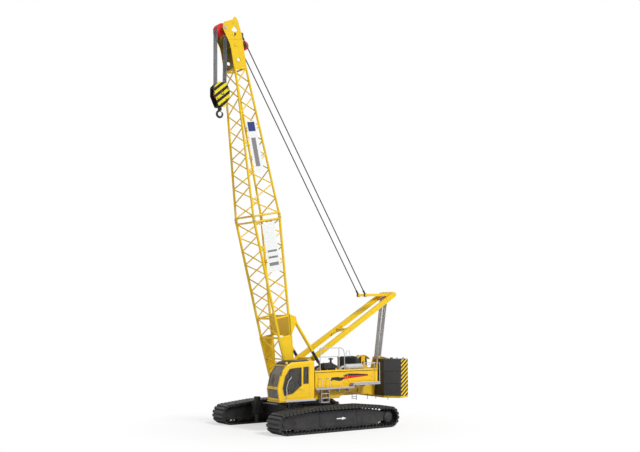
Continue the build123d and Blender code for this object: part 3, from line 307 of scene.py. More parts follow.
luff_wire = rope("luffing_wire_rope", (0.56, 0.56, 0.57), 16.0)
black_paint = paint("exhaust_black", (0.022, 0.022, 0.024), 0.5, 0.2, coat=0.05)
fin_paint = paint("cooler_black", (0.028, 0.028, 0.030), 0.55, 0.2, coat=0.0)
light_grey = paint("rail_light_grey", (0.52, 0.53, 0.56), 0.4, 0.08, coat=0.1)
cleaner_grey = paint("filter_light_grey", (0.55, 0.55, 0.53), 0.42, 0.08, coat=0.1)
walk_grey = grating("footway_planks", (0.44, 0.42, 0.45))
bare_steel = steel("pin_steel", (0.52, 0.51, 0.50))
dark_steel = steel("dark_steel", (0.09, 0.09, 0.10), 0.45, 24)
hook_black = cast("hook_black", (0.016, 0.016, 0.017), 0.5, (0.12, 0.12, 0.12), 0.3)
cab_glass = glazing("tinted_glass", (0.36, 0.345, 0.30))
glass_black = plastic("bonded_glass_edge", (0.018, 0.017, 0.014), 0.08)
seal_rubber = plastic("window_rubber", (0.012, 0.012, 0.013), 0.6)
trim_plastic = plastic("console_plastic", (0.05, 0.05, 0.055), 0.55)
seat_cloth = weave("seat_cloth", (0.045, 0.05, 0.07))
sign_white = paint("sign_white", (0.80, 0.82, 0.80), 0.35, 0.02, runs=0.05)
sign_blue = paint("sign_blue", (0.020, 0.040, 0.17), 0.35, 0.03, runs=0.05)
sign_grey = paint("sign_grey", (0.22, 0.21, 0.22), 0.4, 0.05, coat=0.1)
stripe_red = paint("stripe_red", (0.66, 0.010, 0.012), 0.35, 0.04, runs=0.05)
stripe_black = paint("stripe_black", (0.018, 0.016, 0.022), 0.35, 0.05)
hazard = striped("corner_hazard_stripes", yellow, (0.006, 0.006, 0.007), 0.62, 0.172, 0.48)
# hook block stripes, with near-black painted shade on its inner faces
block_stripes_painted_shade = striped("block_hazard_stripes_painted_shade", (0.006, 0.006, 0.006), (0.80, 0.66, 0.01), 0.85, 0.29,
                        0.5, 0.19)
lamp_lens = plastic("lamp_lens", (0.85, 0.86, 0.84), 0.12)

for slot, group in (
    ("boom_yellow", (boom_yellow, cab_yellow, deck_yellow)),
    ("frame_charcoal", (frame_paint,)),
    ("track_steel", (track_metal, link_metal)),
    ("weight_grey", (weight_paint,)),
    ("rope_steel", (hoist_wire, luff_wire)),
    ("dark_steel", (black_paint, fin_paint, dark_steel, hook_black, stripe_red, stripe_black)),
    ("light_grey", (light_grey, cleaner_grey, bare_steel, lamp_lens)),
    ("console_plastic", (seal_rubber, trim_plastic)),
    ("sign_white", (sign_white, sign_blue, sign_grey)),
    ("glass", (glass_black,)),
    ("seat_fabric", (seat_cloth,)),
):
    for finish in group:
        finish.slot = slot

for finish, names in (
    (boom_yellow, "backstop_tubes boom_base_section boom_top_section mast"),
    (head_yellow_painted_shade, "boom_head"),
    (cab_yellow, "cab_door cab_shell engine_housing_left engine_housing_right fuel_tank"),
    (cab_yellow, "housing_door_left_front housing_door_left_rear"),
    (cab_yellow, "housing_door_right_front housing_door_right_rear"),
    (deck_yellow, "counterweight_tray main_frame rear_gantry"),
    (frame_paint, "carbody jack_housings track_frame_left track_frame_right"),
    (hook_black, "jack_leg_front_left jack_leg_front_right jack_leg_rear_left jack_leg_rear_right"),
    (track_metal, "track_left track_right"),
    (link_metal, "drive_sprockets idler_wheels track_rollers"),
    (weight_paint, "counterweight_left counterweight_right"),
    (sheave_red, "block_sheaves bridle_sheaves guide_sheaves head_sheaves mast_sheaves"),
    (dark_steel, "auxiliary_drum hook luffing_drum main_drum slewing_ring"),
    (black_paint, "backstop_rods cab_roof engine_block muffler"),
    (fin_paint, "oil_cooler"),
    (light_grey, "handrails"),
    (cleaner_grey, "air_cleaner"),
    (walk_grey, "walkways"),
    (cab_glass, "cab_glass door_glass"),
    (trim_plastic, "control_console"),
    (sign_white, "boom_signs"),
    (hazard, "hazard_plates"),
    (block_stripes_painted_shade, "hook_block"),
    (stay_wire, "pendants"),
):
    for name in names.split():
        mesh = nodes[name].data
        mesh.materials.clear()
        mesh.materials.append(finish.material)


# ------------------------------------------------------------------ mesh helpers
def begin():
    return bmesh.new()


def box(bm, low, high):
    """A block between two corners."""
    low, high = Vector(low), Vector(high)
    matrix = Matrix.Translation((low + high) / 2) @ Matrix.Diagonal((*(high - low), 1))
    bmesh.ops.create_cube(bm, size=1, matrix=matrix)


def side_box(bm, side, x, y, z):
    """A block on one side of the middle plane, from its two X, distance and Z values."""
    y = sorted((side * y[0], side * y[1]))
    box(bm, (x[0], y[0], z[0]), (x[1], y[1], z[1]))


def turned(direction):
    return Vector(direction).to_track_quat("Z", "Y").to_matrix().to_4x4()


def placed(spot, direction):
    return Matrix.Translation(spot) @ turned(direction)


def bar(bm, start, end, radius, segments=10):
    """A round bar between two points, closed at both ends."""
    start, end = Vector(start), Vector(end)
    bmesh.ops.create_cone(bm, cap_ends=True, segments=segments, radius1=radius, radius2=radius,
                          depth=(end - start).length, matrix=placed((start + end) / 2, end - start))


def draw_out(bm, faces, shift):
    """Draws flat faces out into a closed plate."""
    made = bmesh.ops.extrude_face_region(bm, geom=faces)["geom"]
    moved = [v for v in made if isinstance(v, bmesh.types.BMVert)]
    bmesh.ops.translate(bm, vec=shift, verts=moved)


def sheet(bm, outline, y):
    """A face whose X-Z outline is given, at one Y value."""
    return bm.faces.new([bm.verts.new((p[0], y, p[-1])) for p in outline])


def flat(bm, outline, y_low, y_high):
    """A plate whose X-Z outline is given, between two Y values."""
    draw_out(bm, [sheet(bm, outline, y_low)], (0, y_high - y_low, 0))


def side_flat(bm, outline, side, start, end):
    """A plate on one side of the middle plane, between two distances from it."""
    flat(bm, outline, *sorted((side * start, side * end)))


def oblong(a_start, a_end, b_start, b_end):
    return [(a_start, b_start), (a_end, b_start), (a_end, b_end), (a_start, b_end)]


def rim(bm, outline, y_low, y_high, width):
    """A closed frame strip that follows an X-Z outline on its inside."""
    face = sheet(bm, outline, y_low)
    ring = bmesh.ops.inset_region(bm, faces=[face], thickness=width, use_boundary=True,
                                  use_even_offset=True)["faces"]
    bmesh.ops.delete(bm, geom=[face], context="FACES_ONLY")
    draw_out(bm, ring, (0, y_high - y_low, 0))


def loop_edges(verts):
    chosen = set(verts)
    return list({e for v in verts for e in v.link_edges if e.other_vert(v) in chosen})


def tube(bm, points, radius, segments=8):
    """A bent round bar through a row of points; radius may be one value or one for each."""
    points = [Vector(p) for p in points]
    radii = radius if isinstance(radius, list) else [radius] * len(points)
    last = None
    for index, point in enumerate(points):
        before = points[max(index - 1, 0)]
        after = points[min(index + 1, len(points) - 1)]
        ring = bmesh.ops.create_circle(bm, segments=segments, radius=radii[index],
                                       matrix=placed(point, after - before))["verts"]
        edges = loop_edges(ring)
        if last is not None:
            bmesh.ops.bridge_loops(bm, edges=last + edges)
        if index in (0, len(points) - 1):
            bm.faces.new(ring)
        last = edges


def turn(bm, profile, centre, axis=(0, 1, 0), steps=24):
    """A solid of revolution: profile is (radius, place along the axis), from axis to axis."""
    centre, axis = Vector(centre), Vector(axis).normalized()
    out = axis.orthogonal().normalized()
    verts = [bm.verts.new(centre + out * r + axis * h) for r, h in profile]
    edges = [bm.edges.new(pair) for pair in zip(verts, verts[1:])]
    bmesh.ops.spin(bm, geom=verts + edges, cent=centre, axis=axis, angle=2 * pi, steps=steps,
                   use_merge=True, use_duplicate=False)


def cap(bm, centre, axis, steps, *rings):
    """A round cap on a face: rings are (radius, height), from its flat top out to its foot."""
    foot = [(rings[-1][0], 0.0)] if rings[-1][1] else []
    turn(bm, [(0, rings[0][1]), *rings, *foot, (0, 0.0)], centre, axis, steps)


def hoop(bm, centre, axis, steps, inner, outer, low, high):
    """A square-edged ring, or a disc where the inner radius is nothing."""
    corners = [(inner, low), (outer, low), (outer, high), (inner, high)]
    turn(bm, corners + corners[:1] if inner else corners, centre, axis, steps)


def stamp(bm, template, places):
    """Copies a small finished shape to many places."""
    mesh = bpy.data.meshes.new("stamp")
    template.to_mesh(mesh)
    template.free()
    for matrix in places:
        copied = mesh.copy()
        copied.transform(matrix)
        bm.from_mesh(copied)
        bpy.data.meshes.remove(copied)
    bpy.data.meshes.remove(mesh)


def bolts(bm, radius, height, places):
    """Hexagon heads with washers, which point along the Z of their places."""
    head = begin()
    bar(head, (0, 0, 0), (0, 0, height * 0.3), radius * 1.35, 10)
    bar(head, (0, 0, height * 0.3), (0, 0, height), radius, 6)
    stamp(bm, head, places)


def bolt_circle(bm, radius, height, centre, axis, circle, count):
    centre, axis = Vector(centre), Vector(axis).normalized()
    side = axis.orthogonal().normalized()
    spins = [Matrix.Rotation(2 * pi * index / count, 3, axis) for index in range(count)]
    bolts(bm, radius, height, [placed(centre + spin @ side * circle, axis) for spin in spins])


def piece(bm, name, finish, body, bevel=0.0, slot=None, smooth=35, levels=0):
    """Cleans a mesh, turns its faces outwards and rides it on a body."""
    bmesh.ops.remove_doubles(bm, verts=bm.verts, dist=1e-5)
    bmesh.ops.dissolve_degenerate(bm, edges=bm.edges, dist=1e-6)
    bmesh.ops.recalc_face_normals(bm, faces=bm.faces)
    if bevel:
        sharp = [e for e in bm.edges if len(e.link_faces) == 2 and e.calc_face_angle() > 0.6]
        bmesh.ops.bevel(bm, geom=sharp, offset=bevel, segments=2, profile=0.5, affect="EDGES",
                        clamp_overlap=True, material=-1)
    for face in bm.faces:
        face.smooth = True
    mesh = bpy.data.meshes.new(name)
    bm.to_mesh(mesh)
    bm.free()
    mesh.set_sharp_from_angle(angle=radians(smooth))
    mesh.materials.append(finish.material)
    made = bpy.data.objects.new(name, mesh)
    bpy.context.scene.collection.objects.link(made)
    if levels:
        modifier = made.modifiers.new("soft", "SUBSURF")
        modifier.levels = modifier.render_levels = levels
    if body:
        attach(made, body)
    slot = slot or finish.slot
    return made


def stamped_piece(name, template, places, finish, body):
    bm = begin()
    stamp(bm, template, places)
    piece(bm, name, finish, body)


# ------------------------------------------------------------------ camera, light and floor
def stand(name, data, place=(0, 0, 0), way=None):
    """Puts a camera or lamp into the scene, looking along a direction."""
    made = bpy.data.objects.new(name, data)
    made.location = place
    made.rotation_euler = Vector(way).to_track_quat("-Z", "Y").to_euler()
    bpy.context.scene.collection.objects.link(made)
    return made


camera_azimuth, camera_pitch = radians(145.264), radians(4.994)
look = (-sin(camera_azimuth) * cos(camera_pitch), cos(camera_azimuth) * cos(camera_pitch), sin(camera_pitch))
camera = bpy.data.cameras.new("camera")
camera.sensor_width = 36
camera.lens = 53.85
camera.clip_end = 300
bpy.context.scene.camera = stand("camera", camera, (22.232, 33.167, 4.731), look)
bpy.context.scene.view_settings.view_transform = "Standard"

# the sky looks white to camera, mirror and glass rays, and lights the rest softly
world = bpy.data.worlds.new("studio")
bpy.context.scene.world = world
world.use_nodes = True
sky = Tree(world.node_tree)
sky_light = sky.tree.nodes["Background"]
sky.feed(sky_light.inputs["Color"], (0.97, 0.98, 1.0))
sky.feed(sky_light.inputs["Strength"], 0.27)
backdrop = sky.node("Background", {"Color": (1, 1, 1), "Strength": 1.0})
rays = sky.node("LightPath").outputs
seen = rays["Is Camera Ray"]
for name in ("Is Glossy Ray", "Is Transmission Ray"):
    seen = sky.node("Math", {0: seen, 1: rays[name]}, operation="MAXIMUM").outputs[0]
mixed = sky.node("MixShader", {0: seen, 1: sky_light.outputs[0], 2: backdrop.outputs[0]})
sky.feed(sky.tree.nodes["World Output"].inputs[0], mixed.outputs[0])

key = bpy.data.lights.new("key_light", "SUN")
key.energy = 2.6
key.angle = radians(16)
stand("key_light", key, way=(0.15, -0.70, -0.70))
softbox_size = 12
for index, (place, target, power) in enumerate((
    ((26, 14, 20), (0, 0, 5), 160),
    ((-26, 4, 20), (-1, 0, 4), 1200),
)):
    lamp = bpy.data.lights.new(f"softbox_{index}", "AREA")
    lamp.size = softbox_size
    lamp.energy = power
    stand(lamp.name, lamp, place, Vector(target) - Vector(place))

# the floor fades from a lit surface under the machine to plain white around it
floor_finish = Finish("studio_floor", (0.93, 0.93, 0.93), 0.9)
reach = floor_finish.node("VectorMath", {0: floor_finish.coords}, operation="LENGTH").outputs["Value"]
share = floor_finish.math("MULTIPLY", floor_finish.node("LightPath").outputs["Is Camera Ray"],
                          floor_finish.span(reach, 3.4, 7.5, 0.6, 1.0))
glow = floor_finish.node("Emission", {"Color": (1, 1, 1)})
mixed = floor_finish.node("MixShader", {0: share, 1: floor_finish.shader.outputs[0], 2: glow.outputs[0]})
floor_finish.feed(floor_finish.tree.nodes["Material Output"].inputs[0], mixed.outputs[0])
bm = begin()
bmesh.ops.create_circle(bm, cap_ends=True, segments=64, radius=140)
floor = piece(bm, "studio_floor", floor_finish, None)


# ------------------------------------------------------------------ tracks
track_length, end_radius, track_height, upper_flat = 5.8, 0.405, 0.945, 2.4
shoe_pitch, shoe_thick = 0.172, 0.06
tooth_count = 13
roller_z = 0.2025


def track_turns():
    """Half wheel spacing, leaving angle, slope length and turn angle of the track line."""
    centre = track_length / 2 - end_radius
    rise = track_height - end_radius
    run = centre - upper_flat / 2
    reach = hypot(run, rise)
    leave = atan2(rise, -run) - acos(end_radius / reach)
    return centre, leave, (reach**2 - end_radius**2) ** 0.5, leave + pi / 2


def track_point(distance, depth):
    """The point at a distance along the outer track line and a depth inside it."""
    centre, leave, slope, angle = track_turns()
    stretches = [2 * centre, end_radius * angle, slope, upper_flat, slope, end_radius * angle]
    at = distance % sum(stretches)
    index = 0
    while at > stretches[index]:
        at -= stretches[index]
        index += 1
    r = end_radius
    if index == 0:
        return -centre + at, depth
    if index == 1:
        a = at / r - pi / 2
        return centre + (r - depth) * cos(a), r + (r - depth) * sin(a)
    if index == 2:
        x = centre + (r - depth) * cos(leave) - at * sin(leave)
        return x, r + (r - depth) * sin(leave) + at * cos(leave)
    if index == 3:
        return upper_flat / 2 - at, track_height - depth
    if index == 4:
        x = -upper_flat / 2 - at * sin(leave) + depth * cos(leave)
        return x, track_height - at * cos(leave) - depth * sin(leave)
    a = pi - leave + at / r
    return -centre + (r - depth) * cos(a), r + (r - depth) * sin(a)


def track_places(depth, y):
    """A matrix for each link: X along the track, Z outwards."""
    centre, leave, slope, angle = track_turns()
    total = 2 * centre + 2 * slope + upper_flat + 2 * end_radius * angle
    count = round(total / shoe_pitch)
    made = []
    for index in range(count):
        at = (index + 0.5) * total / count
        x, z = track_point(at, depth)
        ahead, behind = track_point(at + 0.01, depth), track_point(at - 0.01, depth)
        tilt = atan2(ahead[1] - behind[1], ahead[0] - behind[0])
        made.append(Matrix.Translation((x, y, z)) @ Matrix.Rotation(-tilt, 4, "Y")
                    @ Matrix.Rotation(pi, 4, "X"))
    return made


for name, side in sides.items():
    y = side * track_y
    outward = Vector((0, side, 0))
    link = begin()
    for low in (-0.150, 0.122):
        flat(link, [(-0.078, -0.030), (-0.05, -0.052), (0.05, -0.052), (0.078, -0.030), (0.078, 0.0),
                    (-0.078, 0.0)], low, low + 0.028)
    bar(link, (0, -0.162, -0.022), (0, 0.162, -0.022), 0.017, 8)
    for edge in (-1, 1):
        side_flat(link, [(-0.05, 0.0), (0.05, 0.0), (0.03, -0.085), (-0.03, -0.085)], edge, 0.205, 0.235)
    stamped_piece(f"track_links_{name}", link, track_places(shoe_thick + 0.002, y), link_metal, lower)
    lug = begin()
    for edge in (-1, 1):
        side_box(lug, edge, (-0.052, 0.052), (shoe_half - 0.004, shoe_half - 0.075), (-0.028, 0.0))
    for x in (-0.042, 0.042):
        for lateral in (-0.19, 0.19):
            bar(lug, (x, lateral, -0.016), (x, lateral, 0.0), 0.013, 6)
    places = track_places(shoe_thick - 0.001, y)
    stamped_piece(f"shoe_end_pads_{name}", lug, places, track_metal, lower)
    pad = begin()
    flat(pad, [(-0.058, 0.050), (0.058, 0.050), (0.050, 0.080), (-0.050, 0.080)],
         -shoe_half + 0.004, shoe_half - 0.004)
    above_ground = [place for place in places if place.translation.z > 0.16]
    stamped_piece(f"shoe_pads_{name}", pad, above_ground, track_metal, lower)
    tooth = begin()
    flat(tooth, [(-0.045, 0.0), (-0.016, 0.052), (0.016, 0.052), (0.045, 0.0)], -0.03, 0.03)
    teeth = []
    for index in range(tooth_count):
        spin = Matrix.Rotation(2 * pi * (index + 0.4) / tooth_count, 4, "Y")
        teeth.append(Matrix.Translation((-wheel_x, y, wheel_z)) @ spin @ Matrix.Translation((0, 0, 0.235)))
    stamped_piece(f"sprocket_teeth_{name}", tooth, teeth, link_metal, lower)

    face = side * frame_face
    bm = begin()
    cap(bm, (-wheel_x + 0.04, face, wheel_z), outward, 40, (0.085, 0.075), (0.095, 0.066), (0.15, 0.062),
        (0.165, 0.05), (0.205, 0.046), (0.215, 0.035))
    bolt_circle(bm, 0.013, 0.012, (-wheel_x + 0.04, face + side * 0.046, wheel_z), outward, 0.186, 16)
    cap(bm, (wheel_x, face, wheel_z), outward, 28, (0.06, 0.045), (0.075, 0.03), (0.115, 0.026), (0.12, 0.0))
    bolt_circle(bm, 0.010, 0.010, (wheel_x, face + side * 0.026, wheel_z), outward, 0.097, 8)
    piece(bm, f"final_drive_covers_{name}", frame_paint, lower)

    bm = begin()
    pocket = [(2.38, 0.40), (2.38, 0.47), (2.04, 0.47), (2.00, 0.435), (2.04, 0.40)]
    low, high = sorted((face, face + side * 0.014))
    rim(bm, pocket, low, high, 0.016)
    for x in (0.86, -0.92):
        flat(bm, oblong(x - 0.03, x + 0.03, 0.215, 0.775), low, high)
    flat(bm, [(-2.30, 0.63), (-1.55, 0.63), (-1.48, 0.60), (-1.48, 0.585), (-2.30, 0.585)], low, high)
    flat(bm, [(2.45, 0.235), (-1.85, 0.225), (-1.85, 0.205), (2.45, 0.215)], low, high)
    flat(bm, oblong(1.24, -1.24, 0.785, 0.765), low, high)
    bolts(bm, 0.012, 0.016, [placed((x, face, z), outward) for x in (0.80, 0.92, -0.86, -0.98)
                             for z in (0.30, 0.45, 0.60, 0.72)])
    piece(bm, f"side_frame_ribs_{name}", frame_paint, lower, 0.003)

    bm = begin()
    arrow = [(0.09, 0.50), (0.09, 0.468), (-0.17, 0.462), (-0.17, 0.425), (-0.37, 0.483), (-0.17, 0.545),
             (-0.17, 0.506)]
    side_flat(bm, arrow, side, frame_face, frame_face + 0.003)
    piece(bm, f"travel_arrow_{name}", sign_white, lower)

    bm = begin()
    for index in range(8):
        x = 1.95 - 3.9 * index / 7
        for lateral in (-0.118, 0.100):
            turn(bm, [(0, 0), (0.095, 0), (0.095, 0.010), (0.082, 0.018), (0, 0.018)],
                 (x, y + lateral, roller_z), (0, 1, 0), 20)
        for edge in (-1, 1):
            turn(bm, [(0, 0), (0.055, 0), (0.05, 0.02), (0, 0.02)], (x, y + edge * 0.205, roller_z),
                 (0, -edge, 0), 14)
    piece(bm, f"roller_flanges_{name}", link_metal, lower)
    bm = begin()
    for edge in (-1, 1):
        low, high = sorted((y + edge * 0.215, y + edge * 0.232))
        outline = [(2.02, 0.225), (-1.92, 0.225)]
        for index in range(8):
            x = -1.95 + 3.9 * index / 7
            outline += [(x - 0.13, 0.150), (x - 0.09, 0.128), (x + 0.09, 0.128), (x + 0.13, 0.150)]
        outline[2:4] = [(-1.98, 0.150), (-1.95, 0.128)]
        flat(bm, outline, low, high)
    piece(bm, f"roller_guards_{name}", frame_paint, lower)

# ------------------------------------------------------------------ carbody and jacks
bm = begin()
bolt_circle(bm, 0.017, 0.02, (0, 0, 0.93), up, 0.80, 36)
for side in (1, -1):
    for x in (0.75, -1.10):
        for share in (0.35, 0.65):
            rib_x = x + 0.35 * share
            side_flat(bm, oblong(rib_x - 0.012, rib_x + 0.012, 0.38, 0.42), side, 0.96, 1.66)
    for x in (-0.45, 0.0, 0.45):
        side_box(bm, side, (x - 0.012, x + 0.012), (0.95, 0.965), (0.42, 0.89))
    for z in (0.46, 0.84):
        side_box(bm, side, (-0.70, 0.70), (0.95, 0.975), (z, z + 0.025))
piece(bm, "carbody_ribs", frame_paint, lower, 0.002)

bm = begin()
for x in (-0.35, -0.12, 0.12, 0.35):
    tube(bm, [(1.102, x, 0.62), (1.16, x, 0.62), (1.20, x * 1.05, 0.56), (1.20, x * 1.3, 0.47),
              (1.16, x * 1.5, 0.42), (1.102, x * 1.6, 0.42)], 0.018, 10)
piece(bm, "travel_hoses", seal_rubber, lower, slot="dark_steel")

jacks = [(x, y, top) for x, top in ((1.5, 1.13), (-0.622, 1.01)) for y in (1.3, -1.3)]
bm = begin()
for x, y, top in jacks:
    cap(bm, (x, y, top), up, 28, (0.09, 0.022), (0.105, 0.012), (0.13, 0.010))
    bolt_circle(bm, 0.011, 0.012, (x, y, top + 0.010), up, 0.115, 8)
    for z in (0.36, 0.66, 0.90):
        turn(bm, [(0.124, 0.0), (0.136, 0.004), (0.136, 0.026), (0.124, 0.03)], (x, y, z), up, 28)
piece(bm, "jack_collars", frame_paint, lower)
bm = begin()
for x, y, top in jacks:
    reach = 0.185 if x > 0 else 0.150
    outline = [(x - reach, 0.46), (x + reach, 0.46), (x + reach, 0.90), (x + reach - 0.06, 0.96),
               (x - reach + 0.06, 0.96), (x - reach, 0.90)]
    for low in (0.128, -0.150):
        flat(bm, outline, y + low, y + low + 0.022)
    for edge in (-1, 1):
        low, high = sorted((x + edge * reach, x + edge * (reach - 0.022)))
        box(bm, (low, y - 0.128, 0.46), (high, y + 0.128, 0.90))
piece(bm, "jack_brackets", frame_paint, lower, 0.004)

# ------------------------------------------------------------------ upper works
swoosh = [(-0.34, 1.86), (-0.40, 2.00), (-0.70, 2.015), (-0.86, 1.975), (-0.98, 2.045), (-1.20, 2.13),
          (-1.70, 2.115), (-2.26, 2.07), (-2.26, 2.045), (-1.70, 2.045), (-1.16, 2.035), (-1.04, 1.965),
          (-0.94, 1.875), (-0.80, 1.845), (-0.60, 1.875), (-0.50, 1.90)]
underline = [(-1.02, 1.985), (-1.15, 2.03), (-1.70, 2.045), (-2.26, 2.047), (-2.26, 2.005),
             (-1.70, 1.965), (-1.16, 1.925), (-0.97, 1.895)]
panels = {"front": (-1.0735, 0.2995), "middle": (-1.1735, -1.0865), "rear": (-2.5735, -1.1900)}


def cut_between(bm, low, high):
    """Keeps only what lies between two X values."""
    for x, sense in ((low, 1), (high, -1)):
        geometry = bm.verts[:] + bm.edges[:] + bm.faces[:]
        bmesh.ops.bisect_plane(bm, geom=geometry, plane_co=(x, 0, 0), plane_no=(-sense, 0, 0),
                               clear_outer=True)
        rims = [e for e in bm.edges if len(e.link_faces) == 1]
        if rims:
            bmesh.ops.holes_fill(bm, edges=rims, sides=0)


for name, side in sides.items():
    face = side * hood_side
    for panel, (low, high) in panels.items():
        body = upper if panel == "middle" else f"housing_door_{name}_{panel}"
        for title, outline, finish, lift in (("swoosh", swoosh, stripe_black, 0.0015),
                                             ("underline", underline, stripe_red, 0.003)):
            bm = begin()
            side_flat(bm, outline, side, hood_side, hood_side + lift)
            cut_between(bm, low, high)
            piece(bm, f"{title}_{name}_{panel}", finish, body)
    for panel, low, high, z_low in (("front", -1.08, 0.30, 1.64), ("rear", -2.58, -1.18, 1.80)):
        body = f"housing_door_{name}_{panel}"
        bm = begin()
        outline = [(low + 0.05, z_low + 0.05), (low + 0.05, 2.17), (high - 0.05, 2.17),
                   (high - 0.05, z_low + 0.05)]
        rim(bm, outline, *sorted((face, face + side * 0.006)), 0.018)
        piece(bm, f"door_pressing_{name}_{panel}", cab_yellow, body, 0.002)
        bm = begin()
        for z in (z_low + 0.09, 2.12):
            axle = side * (hood_side + 0.011)
            bar(bm, (high - 0.006, axle, z - 0.035), (high - 0.006, axle, z + 0.035), 0.010, 10)
        for z in (z_low + 0.12, 2.08):
            cap(bm, (low + 0.10, face, z), (0, side, 0), 16, (0.02, 0.012), (0.026, 0.006))
        piece(bm, f"door_hardware_{name}_{panel}", bare_steel, body)

bm = begin()
for side in (1, -1):
    for x in (-2.70, -1.95, -1.15, -0.35, 0.32):
        side_box(bm, side, (x - 0.010, x + 0.010), (0.66, 1.30), (hood_top, hood_top + 0.012))
    side_box(bm, side, (-2.74, 0.39), (1.27, 1.29), (hood_top, hood_top + 0.014))
    side_box(bm, side, (-0.98, 0.39), (hood_side, hood_side + 0.012), (1.612, 1.63))
piece(bm, "housing_seams", cab_yellow, upper, 0.002)
# a thin dark strip along the top of each housing side: a painted shadow under the roof edge
bm = begin()
for side in (1, -1):
    side_box(bm, side, (-2.74, 0.39), (hood_side, hood_side + 0.016), (2.224, 2.240))
piece(bm, "painted_shadow_lines", seal_rubber, upper, slot="dark_steel")

bm = begin()
for index in range(9):
    x = -0.25 + index * 0.06
    for side in (1, -1):
        side_box(bm, side, (x, x + 0.02), (0.86, 1.18), (hood_top, hood_top + 0.016))
piece(bm, "roof_vents", fin_paint, upper, 0.003)

# oil cooler fins, its fan ring and the thin grab loops above it
bm = begin()
for index in range(30):
    x = -1.775 + index * 0.0205
    for low, high in ((1.078, 1.10), (0.682, 0.704)):
        box(bm, (x, low, hood_top + 0.04), (x + 0.007, high, 2.755))
for z in (hood_top + 0.02, 2.76):
    for low, high in ((1.074, 1.106), (0.676, 0.708)):
        box(bm, (-1.795, low, z), (-1.155, high, z + 0.022))
for x in (-1.64, -1.33):
    hoop(bm, (x, 0.89, 2.775), up, 24, 0.10, 0.125, 0.0, 0.03)
    for spoke in range(6):
        way = Vector((cos(spoke * pi / 3), sin(spoke * pi / 3), 0))
        hub = Vector((x, 0.89, 2.795))
        bar(bm, hub, hub + way * 0.11, 0.006, 6)
piece(bm, "cooler_fins", fin_paint, upper)

bm = begin()
tube(bm, [(-0.84, 1.25, 3.18), (-0.95, 1.25, 3.175), (-1.04, 1.255, 3.12), (-1.09, 1.26, 3.02),
          (-1.10, 1.27, 2.90), (-1.10, 1.28, hood_top)], 0.016, 10)
tube(bm, [(-1.35, 1.05, 2.77), (-1.35, 1.05, 2.96), (-1.38, 1.05, 3.03), (-1.42, 1.05, 3.05),
          (-1.50, 1.05, 3.03), (-1.54, 1.05, 2.96), (-1.55, 1.05, 2.77)], 0.012, 8)
piece(bm, "cooler_grab_loops", light_grey, upper)

bm = begin()
for x in (-1.24, -1.60, -1.94):
    turn(bm, [(0.104, 0.0), (0.112, 0.0), (0.112, 0.03), (0.104, 0.03)], (x, 1.19, 2.40), (-1, 0, 0), 28)
cap(bm, (-2.02, 1.19, 2.40), (-1, 0, 0), 28, (0.05, 0.035), (0.10, 0.012), (0.108, 0.0))
tube(bm, [(-1.16, 1.19, 2.40), (-1.08, 1.19, 2.40), (-1.02, 1.17, 2.38), (-0.99, 1.14, 2.33),
          (-0.99, 1.13, hood_top)], 0.05, 16)
piece(bm, "air_cleaner_bands", cleaner_grey, upper)

bm = begin()
for x, top in ((-0.34, 2.566), (-0.62, 2.571)):
    tube(bm, [(x, 0.79, hood_top), (x, 0.79, top - 0.02), (x, 0.81, top), (x, 1.09, top),
              (x, 1.11, top - 0.02), (x, 1.11, hood_top)], 0.008, 6)
bar(bm, (-0.64, 0.95, 2.54), (-0.64, 0.95, 2.58), 0.062, 20)
turn(bm, [(0, 0.03), (0.04, 0.028), (0.085, 0.012), (0.10, 0.0), (0, 0.0)],
     (-0.64, 0.95, 2.735), up, 24)
piece(bm, "muffler_straps", black_paint, upper)

# footway edges, sill step and ladder treads
bm = begin()
for side in (1, -1):
    for x, z in (((-1.30, 0.54), (1.595, 1.625)), ((-2.69, -1.345), (1.745, 1.775))):
        side_box(bm, side, x, (footway_edge, footway_edge - 0.008), z)
    for x in (-2.4, -1.9, -1.5, -1.1, -0.6, -0.1, 0.4):
        z = 1.70 if x < -1.345 else 1.55
        side_flat(bm, oblong(x - 0.008, x + 0.008, z, z - 0.10), side, 1.352, 1.60)
box(bm, (0.62, 1.652, 1.165), (2.02, 1.70, 1.205))
box(bm, (0.62, 1.690, 1.165), (2.02, 1.70, 1.235))
piece(bm, "footway_edges", light_grey, upper, 0.002)

bm = begin()
for z in (1.059, 1.224, 1.404):
    for index in range(5):
        y = 1.41 + index * 0.033
        box(bm, (-0.12, y, z), (0.22, y + 0.012, z + 0.008))
for x in (-0.14, 0.24):
    tube(bm, [(x, 1.605, 1.60), (x, 1.605, 1.92), (x, 1.585, 1.965), (x, 1.54, 1.98), (x, 1.352, 1.98)],
         0.013, 8)
piece(bm, "ladder_treads", light_grey, upper)

# counterweight joints and lifting eyes
slab_joints = (1.62, 2.13)
eye = ((-0.05, -0.005), (-0.05, 0.025), (-0.03, 0.05), (0.03, 0.05), (0.05, 0.025), (0.05, -0.005))
bm = begin()
for side in (1, -1):
    for z in slab_joints:
        side_flat(bm, [(-3.36, z), (-3.36, z + 0.014), (-4.30, z + 0.014), (-4.30, z)], side, 0.452, 0.462)
    for x, y, z in ((-3.48, 0.85, 2.65), (-3.80, 1.35, 2.65), (-4.10, 1.40, 2.65), (-4.22, 0.70, 2.15)):
        tube(bm, [(x + dx, side * y, z + dz) for dx, dz in eye], 0.011, 8)
piece(bm, "counterweight_fittings", weight_paint, upper)

